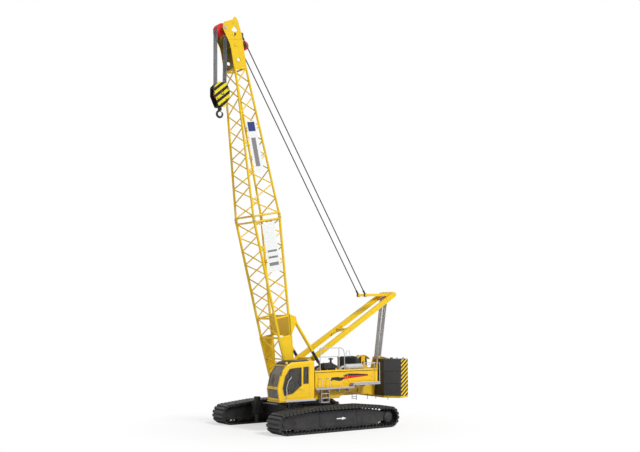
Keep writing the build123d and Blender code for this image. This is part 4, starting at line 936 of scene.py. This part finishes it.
plan = [(-3.30, 1.08), (-3.74, 1.65), (-4.29, 1.48), (-4.39, 1.00), (-4.43, 0.46)]
bm = begin()
for side in (1, -1):
    for (x1, y1), (x2, y2) in ((plan[0], plan[1]), (plan[2], plan[3]), (plan[3], plan[4])):
        start, end = Vector((x1, side * y1, 0)), Vector((x2, side * y2, 0))
        way = (end - start).normalized()
        out = Vector((way.y, -way.x, 0)) * side
        if out.dot((start + end) / 2 - Vector((-3.8, 0.7 * side, 0))) < 0:
            out = -out
        for z in slab_joints:
            a, b = start + way * 0.05, end - way * 0.05
            verts = [bm.verts.new(p + Vector((0, 0, z))) for p in
                     (a - out * 0.004, b - out * 0.004, b + out * 0.006, a + out * 0.006)]
            draw_out(bm, [bm.faces.new(verts)], (0, 0, 0.016))
piece(bm, "counterweight_joints", stripe_black, upper, slot="weight_grey")

# slender hangers under the tail
bm = begin()
for x, y in ((-3.42, 1.20), (-3.24, 0.60), (-2.79, 0.60), (-2.21, 0.60)):
    bar(bm, (x, y, 0.972), (x, y, 1.19), 0.011, 8)
    bar(bm, (x, y, 0.966), (x, y, 0.976), 0.022, 10)
for z in (1.02, 1.10):
    bar(bm, (-2.21, 0.60, z), (-1.98, 0.60, z), 0.009, 8)
bar(bm, (-1.98, 0.60, 1.00), (-1.98, 0.60, 1.22), 0.011, 8)
piece(bm, "tail_hangers", black_paint, upper)

# deck and frame fittings
girder_face = 0.44
bm = begin()
for side in (1, -1):
    for x in (-3.2, -2.4, -1.6, -0.5, 0.5):
        z_low = 1.24 if x > -2.9 else 1.15
        side_flat(bm, oblong(x - 0.010, x + 0.010, z_low, 1.60), side, girder_face, girder_face + 0.05)
    bolts(bm, 0.011, 0.014, [
        placed((x + dx * 0.9, side * 0.435, z + dz * 0.9), (0, side, 0)) for x, z in drums.values()
        for dx, dz in ((-0.09, 0.0), (0.09, 0.0), (0.0, -0.09), (0.0, 0.085))])
piece(bm, "girder_stiffeners", deck_yellow, upper)

for name, (x, z) in drums.items():
    bm = begin()
    half, core, lays = 0.338, 0.19, 22
    profile = [(core - 0.004, -half)]
    for index in range(lays):
        middle = -half + (index + 0.5) * 2 * half / lays
        step = half / lays
        profile += [(core + 0.006, middle - step * 0.95), (core + 0.026, middle - step * 0.35),
                    (core + 0.026, middle + step * 0.35)]
    profile += [(core + 0.006, half), (core - 0.004, half), (core - 0.004, -half)]
    turn(bm, profile, (x, 0, z), (0, 1, 0), 40)
    piece(bm, f"rope_wraps_{name}", hoist_wire, name)
    bm = begin()
    for side in (1, -1):
        bolt_circle(bm, 0.012, 0.012, (x, side * 0.43, z), (0, side, 0), 0.035, 5)
        for spoke in range(8):
            way = Matrix.Rotation(spoke * pi / 4, 3, "Y") @ Vector((1, 0, 0))
            hub = Vector((x, side * 0.367, z))
            bar(bm, hub + way * 0.08, hub + way * 0.24, 0.006, 6)
    piece(bm, f"drum_ribs_{name}", dark_steel, name)


# ------------------------------------------------------------------ cab
front_window = [(1.35, 1.70), (1.65, 1.48), (2.06, 1.40), (2.14, 1.70), (2.025, 2.15), (1.81, 2.44),
                (1.35, 2.48)]
rear_window = [(0.96, 1.83), (1.27, 1.83), (1.27, 2.485), (0.96, 2.50)]
right_window = [(0.76, 1.70), (2.00, 1.56), (2.16, 1.72), (2.05, 2.15), (1.85, 2.45), (0.76, 2.52)]


def seal_line(outline, share=1.03):
    """A window's outline, its corners cut, and scaled about its centre."""
    cx = sum(p[0] for p in outline) / len(outline)
    cz = sum(p[1] for p in outline) / len(outline)
    made = []
    count = len(outline)
    for index in range(count):
        here = Vector(outline[index])
        for other in (outline[index - 1], outline[(index + 1) % count]):
            way = Vector(other) - here
            spot = here + way.normalized() * min(0.035, way.length * 0.3)
            made.append((cx + (spot.x - cx) * share, cz + (spot.y - cz) * share))
    return made


bm = begin()
for outline in (front_window, rear_window):
    rim(bm, seal_line(outline), cab_left - 0.004, cab_left + 0.006, 0.022)
piece(bm, "door_window_seals", seal_rubber, "cab_door")
bm = begin()
rim(bm, seal_line(right_window), cab_right - 0.006, cab_right + 0.004, 0.024)
piece(bm, "side_window_seal", seal_rubber, upper)

bm = begin()
screen = [(2.322, 1.75), (2.206, 2.228), (1.975, 2.527)]
for y in (cab_right + 0.070, cab_left - 0.082):
    for start, end in zip(screen, screen[1:]):
        bar(bm, (start[0], y, start[1]), (end[0], y, end[1]), 0.010, 8)
for x, z in (screen[0], screen[-1], (2.335, 1.645), (2.290, 1.325)):
    bar(bm, (x, cab_right + 0.07, z), (x, cab_left - 0.07, z), 0.010, 8)
piece(bm, "windscreen_seals", seal_rubber, upper)

bm = begin()
for inset, outline in (
    (0.01, [(1.955, 2.545), (1.965, 2.560), (1.82, 2.635), (1.80, 2.62)]),
    (0.03, [(1.955, 2.60), (1.93, 2.655), (1.78, 2.70), (1.10, 2.715), (0.90, 2.69), (0.84, 2.60)]),
):
    flat(bm, outline, cab_right + inset, cab_left - inset)
piece(bm, "roof_visor", black_paint, upper, 0.012)
bm = begin()
flat(bm, [(1.355, 1.70), (1.355, 2.478), (1.262, 2.482), (1.262, 1.768)], cab_left, cab_left + 0.004)
flat(bm, [(0.965, 1.835), (0.965, 2.495), (0.925, 2.497), (0.925, 1.835)], cab_left, cab_left + 0.004)
piece(bm, "door_glass_bands", glass_black, "cab_door")
bm = begin()
flat(bm, [(1.262, 1.80), (1.262, 2.50), (1.185, 2.50), (1.185, 1.80)], cab_left, cab_left + 0.012)
piece(bm, "door_pillar_trim", cab_yellow, "cab_door", 0.003)

bm = begin()
tube(bm, [(2.335, 1.30, 1.735), (2.338, 1.25, 1.80), (2.285, 1.16, 2.02), (2.262, 1.12, 2.11)], 0.007, 6)
bar(bm, (2.325, 1.12, 1.86), (2.215, 1.12, 2.24), 0.007, 6)
bar(bm, (2.325, 1.30, 1.735), (2.345, 1.30, 1.735), 0.02, 10)
piece(bm, "windscreen_wiper", seal_rubber, upper)

bm = begin()
tube(bm, [(x, cab_left + out, z) for x, out, z in (
    (1.96, 0, 1.30), (1.96, 0.045, 1.31), (1.965, 0.055, 1.40), (1.985, 0.055, 1.72), (1.90, 0.055, 1.98),
    (1.78, 0.055, 2.10), (1.76, 0.045, 2.12), (1.75, 0, 2.12))], 0.014, 8)
piece(bm, "door_grab_rail", light_grey, "cab_door")

bm = begin()
for z in (1.465, 2.425):
    bar(bm, (0.884, cab_left + 0.006, z - 0.05), (0.884, cab_left + 0.006, z + 0.05), 0.012, 10)
cap(bm, (1.36, cab_left, 1.635), (0, 1, 0), 16, (0.018, 0.016), (0.024, 0.008))
piece(bm, "cab_door_hardware", bare_steel, "cab_door")

lamp_ys, lamp_way = (0.89, 1.60), (1, 0, -0.15)
bm = begin()
for y in lamp_ys:
    place = Vector((1.93, y, 2.66))
    turn(bm, [(0, -0.06), (0.03, -0.055), (0.048, -0.03), (0.052, 0.02), (0, 0.02)], place, lamp_way, 20)
    bar(bm, place + Vector((-0.02, 0, -0.04)), place + Vector((-0.03, 0, -0.10)), 0.012, 8)
piece(bm, "work_lamps", cab_yellow, upper)
bm = begin()
for y in lamp_ys:
    turn(bm, [(0, 0.008), (0.03, 0.006), (0.046, 0.0), (0, -0.002)], (1.952, y, 2.657), lamp_way, 20)
piece(bm, "lamp_lenses", lamp_lens, upper)

bm = begin()
tube(bm, [(2.13, 1.655, 2.30), (2.18, 1.70, 2.32), (2.26, 1.72, 2.33)], 0.010, 8)
box(bm, (2.245, 1.70, 2.18), (2.27, 1.755, 2.36))
piece(bm, "cab_mirrors", trim_plastic, upper, 0.008)

bm = begin()
for side in (1, -1):
    y = cab_middle + side * 0.30
    turn(bm, [(0, 0.045), (0.018, 0.04), (0.024, 0.02), (0.016, 0.0), (0, -0.005)], (1.60, y, 1.90),
         (0.2, 0, 1), 14)
    tube(bm, [(1.55, y, 1.74), (1.57, y, 1.80), (1.60, y, 1.90)], 0.009, 8)
    for offset in (-0.025, 0.025):
        tube(bm, [(1.42, y + offset, 1.76), (1.43, y + offset, 1.82)], [0.006, 0.010], 8)
box(bm, (1.96, cab_middle - 0.17, 1.72), (2.02, cab_middle + 0.17, 1.93))
for y in (cab_middle - 0.10, cab_middle + 0.10):
    tube(bm, [(1.95, y, 1.30), (1.86, y, 1.36)], 0.03, 10)
piece(bm, "cab_levers", trim_plastic, upper, 0.004)
bm = begin()
box(bm, (1.954, cab_middle - 0.15, 1.745), (1.961, cab_middle + 0.15, 1.905))
piece(bm, "load_display", sign_blue, upper, slot="console_plastic")


# ------------------------------------------------------------------ operator's seat
def cushion(name, low, high, tilt=0.0, pivot=(0, 0, 0), crown=0.025, channels=2):
    """A padded block: crowned faces, drawn-in corners and sewn channels across it."""
    bm = begin()
    box(bm, low, high)
    bmesh.ops.bevel(bm, geom=bm.edges[:], offset=0.028, segments=2, profile=0.5, affect="EDGES",
                    material=-1)
    bmesh.ops.subdivide_edges(bm, edges=bm.edges[:], cuts=3, use_grid_fill=True)
    low, high = Vector(low), Vector(high)
    centre, half = (low + high) / 2, (high - low) / 2
    thin = min(range(3), key=lambda i: half[i])
    wide = [i for i in range(3) if i != thin]
    for v in bm.verts:
        p = v.co - centre
        share = [max(-1.0, min(1.0, p[i] / half[i])) for i in range(3)]
        bulge = (1 - share[wide[0]] ** 2) * (1 - share[wide[1]] ** 2)
        v.co[thin] += crown * bulge * (1 if share[thin] > 0 else -1)
        seam = abs(sin(share[wide[0]] * pi * (channels + 1) / 2)) if channels else 1
        v.co[thin] -= 0.010 * (1 - seam) ** 3 * share[thin] * bulge
    pivot = Vector(pivot)
    spin = Matrix.Translation(pivot) @ Matrix.Rotation(tilt, 4, "Y") @ Matrix.Translation(-pivot)
    bmesh.ops.transform(bm, matrix=spin, verts=bm.verts)
    made = piece(bm, name, seat_cloth, upper, smooth=60, levels=1)
    return made


seat_low = 1.268
seat_pan = cushion("seat_cushion", (0.985, cab_middle - 0.215, seat_low + 0.29),
                   (1.465, cab_middle + 0.215, seat_low + 0.385))
seat_back = cushion("seat_back", (0.985, cab_middle - 0.20, seat_low + 0.42),
                    (1.075, cab_middle + 0.20, 2.13), -0.10, (1.03, 0, seat_low + 0.40))
head_rest = cushion("head_rest", (0.915, cab_middle - 0.11, 2.20), (0.972, cab_middle + 0.11, 2.36),
                    crown=0.012, channels=0)
bm = begin()
turn(bm, [(0, 0.0), (0.17, 0.0), (0.16, 0.03), (0.11, 0.10), (0.11, 0.20), (0.15, 0.26), (0, 0.26)],
     (1.20, cab_middle, seat_low), up, 24)
box(bm, (1.00, cab_middle - 0.20, seat_low + 0.255), (1.44, cab_middle + 0.20, seat_low + 0.295))
for y in (cab_middle - 0.05, cab_middle + 0.05):
    bar(bm, (0.955, y, 2.10), (0.943, y, 2.22), 0.008, 8)
piece(bm, "seat_pedestal", trim_plastic, upper, 0.004)
for padding in (seat_pan, seat_back, head_rest):
    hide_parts("operator_seat")

# ------------------------------------------------------------------ boom details
bm = begin()
for side in (1, -1):
    for front in (1, -1):
        for along, depth, narrowing, gap in ((-0.07, 0.606, 1, 0.072), (0.07, 0.60, 0.997, 0.070)):
            spot = boom_point(base_length + along, front * depth, side * boom_half_width * narrowing)
            for reach in (1, -1):
                cap(bm, spot + Vector((0, reach * gap, 0)), (0, reach, 0), 14, (0.03, 0.014), (0.036, 0.008))
    axle = head_axle + Vector((0, side * 0.449, 0))
    cap(bm, axle + Vector((0, side * -0.022, 0)), (0, side, 0), 24, (0.075, 0.010), (0.085, 0.0))
    bolt_circle(bm, 0.010, 0.010, axle, (0, side, 0), 0.035, 4)
piece(bm, "boom_pins", bare_steel, "boom")

bm = begin()
for side in (1, -1):
    face = side * 0.425
    seam = [boom_point(*corner) for corner in oblong(13.72, 13.735, 0.33, -0.26)]
    flat(bm, seam, *sorted((face, face + side * 0.010)))
    for s, d, inner, outer in ((13.53, 0.030, 0.062, 0.10), (12.9, 0.028, 0.078, 0.105),
                               (13.935, 0.035, 0.064, 0.09), (14.39, 0.009, 0.0, 0.04)):
        hole = boom_point(s, d)
        hoop(bm, (hole.x, face, hole.z), (0, side, 0), 28, inner, outer, 0.0, 0.012)
    spots = [boom_point(s, d) for s in (12.72, 12.98, 13.22, 13.42) for d in (-0.24, 0.25)]
    bolts(bm, 0.012, 0.014, [placed((spot.x, face, spot.z), (0, side, 0)) for spot in spots])
piece(bm, "head_plate_trim", boom_yellow, "boom", 0.002)


def base_depth(s):
    return foot_half_depth + (base_half_depth - foot_half_depth) * s / base_length


bm = begin()
for side in (1, -1):
    for face, sense in ((side * 0.76, side), (side * 0.64, -side)):
        low, high = sorted((face, face + sense * 0.010))
        outline = [boom_point(s, d) for s, d in (
            (0.28, -0.15), (0.28, 0.15), (1.60, base_depth(1.60) - 0.01), (1.60, -base_depth(1.60) + 0.01))]
        rim(bm, outline, low, high, 0.03)
    for s in (0.75, 1.25):
        a, b = boom_point(s, -base_depth(s)), boom_point(s, base_depth(s))
        way = (boom_point(s + 0.012, 0) - boom_point(s, 0))
        flat(bm, [a, b, b + way, a + way], *sorted((side * 0.76, side * 0.768)))
    spot = boom_foot + Vector((0, side * 0.80, 0))
    cap(bm, spot, (0, side, 0), 28, (0.08, 0.016), (0.09, 0.006))
piece(bm, "boom_foot_ribs", boom_yellow, "boom", 0.002)

bm = begin()
for low, high in ((0.30, 0.78), (0.78, 1.62), (1.72, 2.42)):
    for side in (1, -1):
        bar(bm, boom_point(low, base_depth(low) - 0.02, side * 0.67),
            boom_point(high, base_depth(high) - 0.02, side * -0.67), 0.024)
bar(bm, *(boom_point(0.78, base_depth(0.78) - 0.02, y) for y in (0.66, -0.66)), 0.028)
piece(bm, "boom_front_bracing", boom_yellow, "boom")


# sign boards: plain colour fields
chord_half, board_thick = 0.0263, 0.006


def top_corner(s, front, side):
    share = (s - base_length) / (top_end - base_length)
    far = top_front_depth if front > 0 else top_rear_depth
    return boom_point(s, front * base_half_depth * (1 - share) + far * share,
                      side * (boom_half_width * (1 - share) + top_half_width * share))


def base_corner(s, front, side):
    return boom_point(s, front * base_depth(s), side * boom_half_width)


def board_patch(bm, corner, low, high, rear, front):
    """A thin field on the sign board over the boom's left side."""
    start, end = corner(low, 1, 1), corner(high, 1, 1)
    across = start - corner(low, -1, 1)
    out = (end - start).cross(across).normalized()
    out = out if out.y > 0 else -out
    level = start + out * (chord_half + board_thick)
    verts = []
    for s, d in ((low, rear), (low, front), (high, front), (high, rear)):
        spot = boom_point(s, d)
        drop = (level - spot).dot(out) / out.y
        verts.append(bm.verts.new(spot + Vector((0, drop, 0))))
    draw_out(bm, [bm.faces.new(verts)], out * 0.002)


for title, finish, fields in (
    ("sign_blue_fields", sign_blue, [(top_corner, 9.98, 10.36, -0.17, 0.16)]),
    ("sign_grey_fields", sign_grey, [(top_corner, 8.56, 9.72, -0.10, 0.10)] + [
        (base_corner, low, high, -0.22, 0.22) for low, high in ((4.55, 4.68), (4.85, 4.93), (5.10, 5.18))]),
):
    bm = begin()
    for corner, low, high, rear, front in fields:
        board_patch(bm, corner, low, high, rear, front)
    piece(bm, title, finish, "boom")

# rope rollers and tie plates inside the boom
bm = begin()
for corner, s in ((base_corner, 6.34), (top_corner, 9.0)):
    a, b = corner(s, -1, 1), corner(s, -1, -1)
    front = (corner(s, 1, 1) - corner(s, -1, 1)).normalized() * 0.09
    bar(bm, a + front, b + front, 0.022, 10)
    for share in (0.40, 0.60):
        centre = a.lerp(b, share) + front
        turn(bm, [(0.02, -0.05), (0.055, -0.05), (0.04, -0.03), (0.04, 0.03), (0.055, 0.05), (0.02, 0.05)],
             centre, (0, 1, 0), 18)
    for end in (a, b):
        bar(bm, end, end + front, 0.02, 8)
piece(bm, "rope_rollers", bare_steel, "boom")


# ------------------------------------------------------------------ mast details
bm = begin()
for side in (1, -1):
    for m in (0.35, 1.35, 2.6, 3.6, 5.0, 6.0):
        y = 0.532 + (0.420 - 0.532) * m / mast_length
        for sense in (1, -1):
            edge = side * y + sense * 0.065
            corners = [mast_point(*corner) for corner in oblong(m - 0.008, m + 0.008, -0.106, 0.106)]
            flat(bm, corners, edge - 0.006, edge + 0.006)
    tip = mast_point(mast_length, 0) + Vector((0, side * 0.485, 0))
    cap(bm, tip, (0, side, 0), 24, (0.06, 0.012), (0.068, 0.0))
    axle = mast_axle + Vector((0, side * 0.490, 0))
    cap(bm, axle, (0, side, 0), 24, (0.05, 0.012), (0.056, 0.0))
piece(bm, "mast_ribs", boom_yellow, "mast", 0.002)


bm = begin()
for side in (1, -1):
    bar(bm, mast_point(3.20, 0.0, side * 0.42), mast_point(3.90, 0.0, side * -0.41), 0.026, 12)
    for m in (3.26, 3.84):
        corners = [mast_point(*corner) for corner in oblong(m - 0.11, m + 0.11, -0.05, 0.05)]
        side_flat(bm, corners, side, 0.395, 0.42)
piece(bm, "mast_cross_bracing", boom_yellow, "mast")


# ------------------------------------------------------------------ ropes
wrap_steps = 14


def falls(name, top, top_radius, low, low_radius, count, pitch, bodies, finish, node):
    """Straight falls between two sheave nests."""
    along = (top - low).normalized()
    across = Vector((along.z, 0, -along.x))
    bm = begin()
    for index in range(count):
        shift = Vector((0, (index - (count - 1) / 2) * pitch, 0))
        for side in (1, -1):
            start = top + shift + across * side * (top_radius - rope_inset)
            end = low + shift + across * side * (low_radius - rope_inset)
            bar(bm, start, end, rope_radius, 8)
    made = piece(bm, name, finish, None)
    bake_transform(made)
    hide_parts(node)


def wraps(name, centre, radius, count, pitch, start, end, body, finish):
    """The rope that lies in the grooves over a sheave nest, between two angles."""
    bm = begin()
    for index in range(count):
        y = (index - (count - 1) / 2) * pitch
        turns = [start + (end - start) * step / wrap_steps for step in range(wrap_steps + 1)]
        middle = Vector((centre.x, y, centre.z))
        tube(bm, [middle + Vector((cos(a), 0, sin(a))) * (radius - rope_inset) for a in turns], rope_radius)
    piece(bm, name, finish, body)


hoist_nest, luffing_nest = (6, 0.056), (6, 0.042)  # sheave count and pitch
falls("hoist_falls", head_axle, head_sheave_radius, block_axle, block_sheave_radius, *hoist_nest,
      ("hoist_line", "hook_block"), hoist_wire, "hoist_ropes")
falls("luffing_falls", mast_axle, mast_sheave_radius, bridle_axle, bridle_sheave_radius, *luffing_nest,
      ("mast", upper), luff_wire, "luffing_ropes")
wraps("head_rope_wraps", head_axle, head_sheave_radius, *hoist_nest, 0, pi, "hoist_line", hoist_wire)
wraps("block_rope_wraps", block_axle, block_sheave_radius, *hoist_nest, 0, -pi, "hook_block", hoist_wire)
slant = atan2((mast_axle - bridle_axle).z, (mast_axle - bridle_axle).x)
wraps("mast_rope_wraps", mast_axle, mast_sheave_radius, *luffing_nest, slant - pi / 2, slant + pi / 2,
      "mast", luff_wire)
wraps("bridle_rope_wraps", bridle_axle, bridle_sheave_radius, *luffing_nest, slant + pi / 2,
      slant + 3 * pi / 2, upper, luff_wire)

# line from the luffing winch to the lower nest
bm = begin()
x, z = drums["luffing_drum"]
line_end = bridle_axle + Vector((0, 0.093, -bridle_sheave_radius + rope_inset))
bar(bm, (x, 0.10, z - 0.215), line_end, rope_radius, 8)
piece(bm, "winch_line_luffing", luff_wire, upper)

# ------------------------------------------------------------------ hook block and hook
bm = begin()
for side in (1, -1):
    for x, z, radius in ((0, 0, 0.085), (0, -0.46, 0.05), (0.26, 0.19, 0.03), (-0.26, 0.19, 0.03),
                         (0.20, -0.25, 0.024), (-0.20, -0.25, 0.024)):
        cap(bm, (block_axle.x + x, side * 0.198, block_axle.z + z), (0, side, 0), 20,
            (radius * 0.8, 0.016), (radius, 0.006))
piece(bm, "block_pins", hook_black, "hook_block")

hook_base = block_axle - Vector((0, 0, 0.56))
bowl = hook_base - Vector((0, 0, 0.27))
bowl_radius = 0.126
points = [hook_base + Vector((x, 0, z)) for x, z in ((0, 0.20), (0, 0), (0, -0.07), (0.01, -0.12))]
radii = [0.044, 0.044, 0.052, 0.054]
for step in range(15):
    a = radians(62) - radians(262) * step / 14
    points.append(bowl + Vector((cos(a) * bowl_radius, 0, sin(a) * bowl_radius)))
    radii.append(0.046 if step < 3 else 0.048 - 0.014 * max(0, step - 8) / 6)
points.append(points[-1] + Vector((-0.012, 0, 0.035)))
radii.append(0.024)
bm = begin()
tube(bm, points, radii, 16)
turn(bm, [(0, -0.02), (0.075, -0.02), (0.082, 0.0), (0.082, 0.07), (0.07, 0.085), (0, 0.085)],
     hook_base - Vector((0, 0, 0.10)), up, 24)
turn(bm, [(0, 0), (0.088, 0), (0.088, 0.045), (0.07, 0.058), (0, 0.058)],
     hook_base + Vector((0, 0, 0.181)), up, 6)
shank = piece(bm, "forged_hook", hook_black, "hook")
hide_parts("hook")
bm = begin()
tube(bm, [bowl + Vector((x, 0, z)) for x, z in ((-0.10, 0.075), (-0.03, 0.11), (0.045, 0.135))],
     [0.014, 0.018, 0.018])
piece(bm, "hook_latch", hook_black, "hook")

# ------------------------------------------------------------------ backstops and rails
bm = begin()
pin = boom_point(2.28, -0.54)
foot = Vector((-0.32, 0, 2.42))
down = (foot - pin).normalized()
for side in (1, -1):
    shift = Vector((0, side * 0.70, 0))
    for at, radius in ((0.12, 0.074), (0.85, 0.070), (1.56, 0.076)):
        hoop(bm, pin + shift + down * at, down, 24, 0.060, radius, -0.02, 0.02)
piece(bm, "backstop_collars", boom_yellow, "boom", 0.002)
sideways = Vector((0, 1, 0))
spring_start, spring_length, spring_radius, spring_steps = 1.61, 0.52, 0.062, 13 * 12
bm = begin()
for side in (1, -1):
    shift = Vector((0, side * 0.70, 0))
    points = []
    for step in range(spring_steps + 1):
        a = 2 * pi * step / 12
        place = pin + shift + down * (spring_start + spring_length * step / spring_steps)
        points.append(place + down.cross(sideways) * cos(a) * spring_radius + sideways * sin(a) * spring_radius)
    tube(bm, points, 0.008, 6)
springs = piece(bm, "backstop_springs", black_paint, None)
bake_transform(springs)

bm = begin()
for x in (-0.84, 0.30):
    turn(bm, [(0, 0.02), (0.028, 0.018), (0.045, 0.006), (0.045, 0.0), (0, 0.0)], (x, 1.25, hood_top),
         up, 16)
piece(bm, "rail_feet", light_grey, upper)
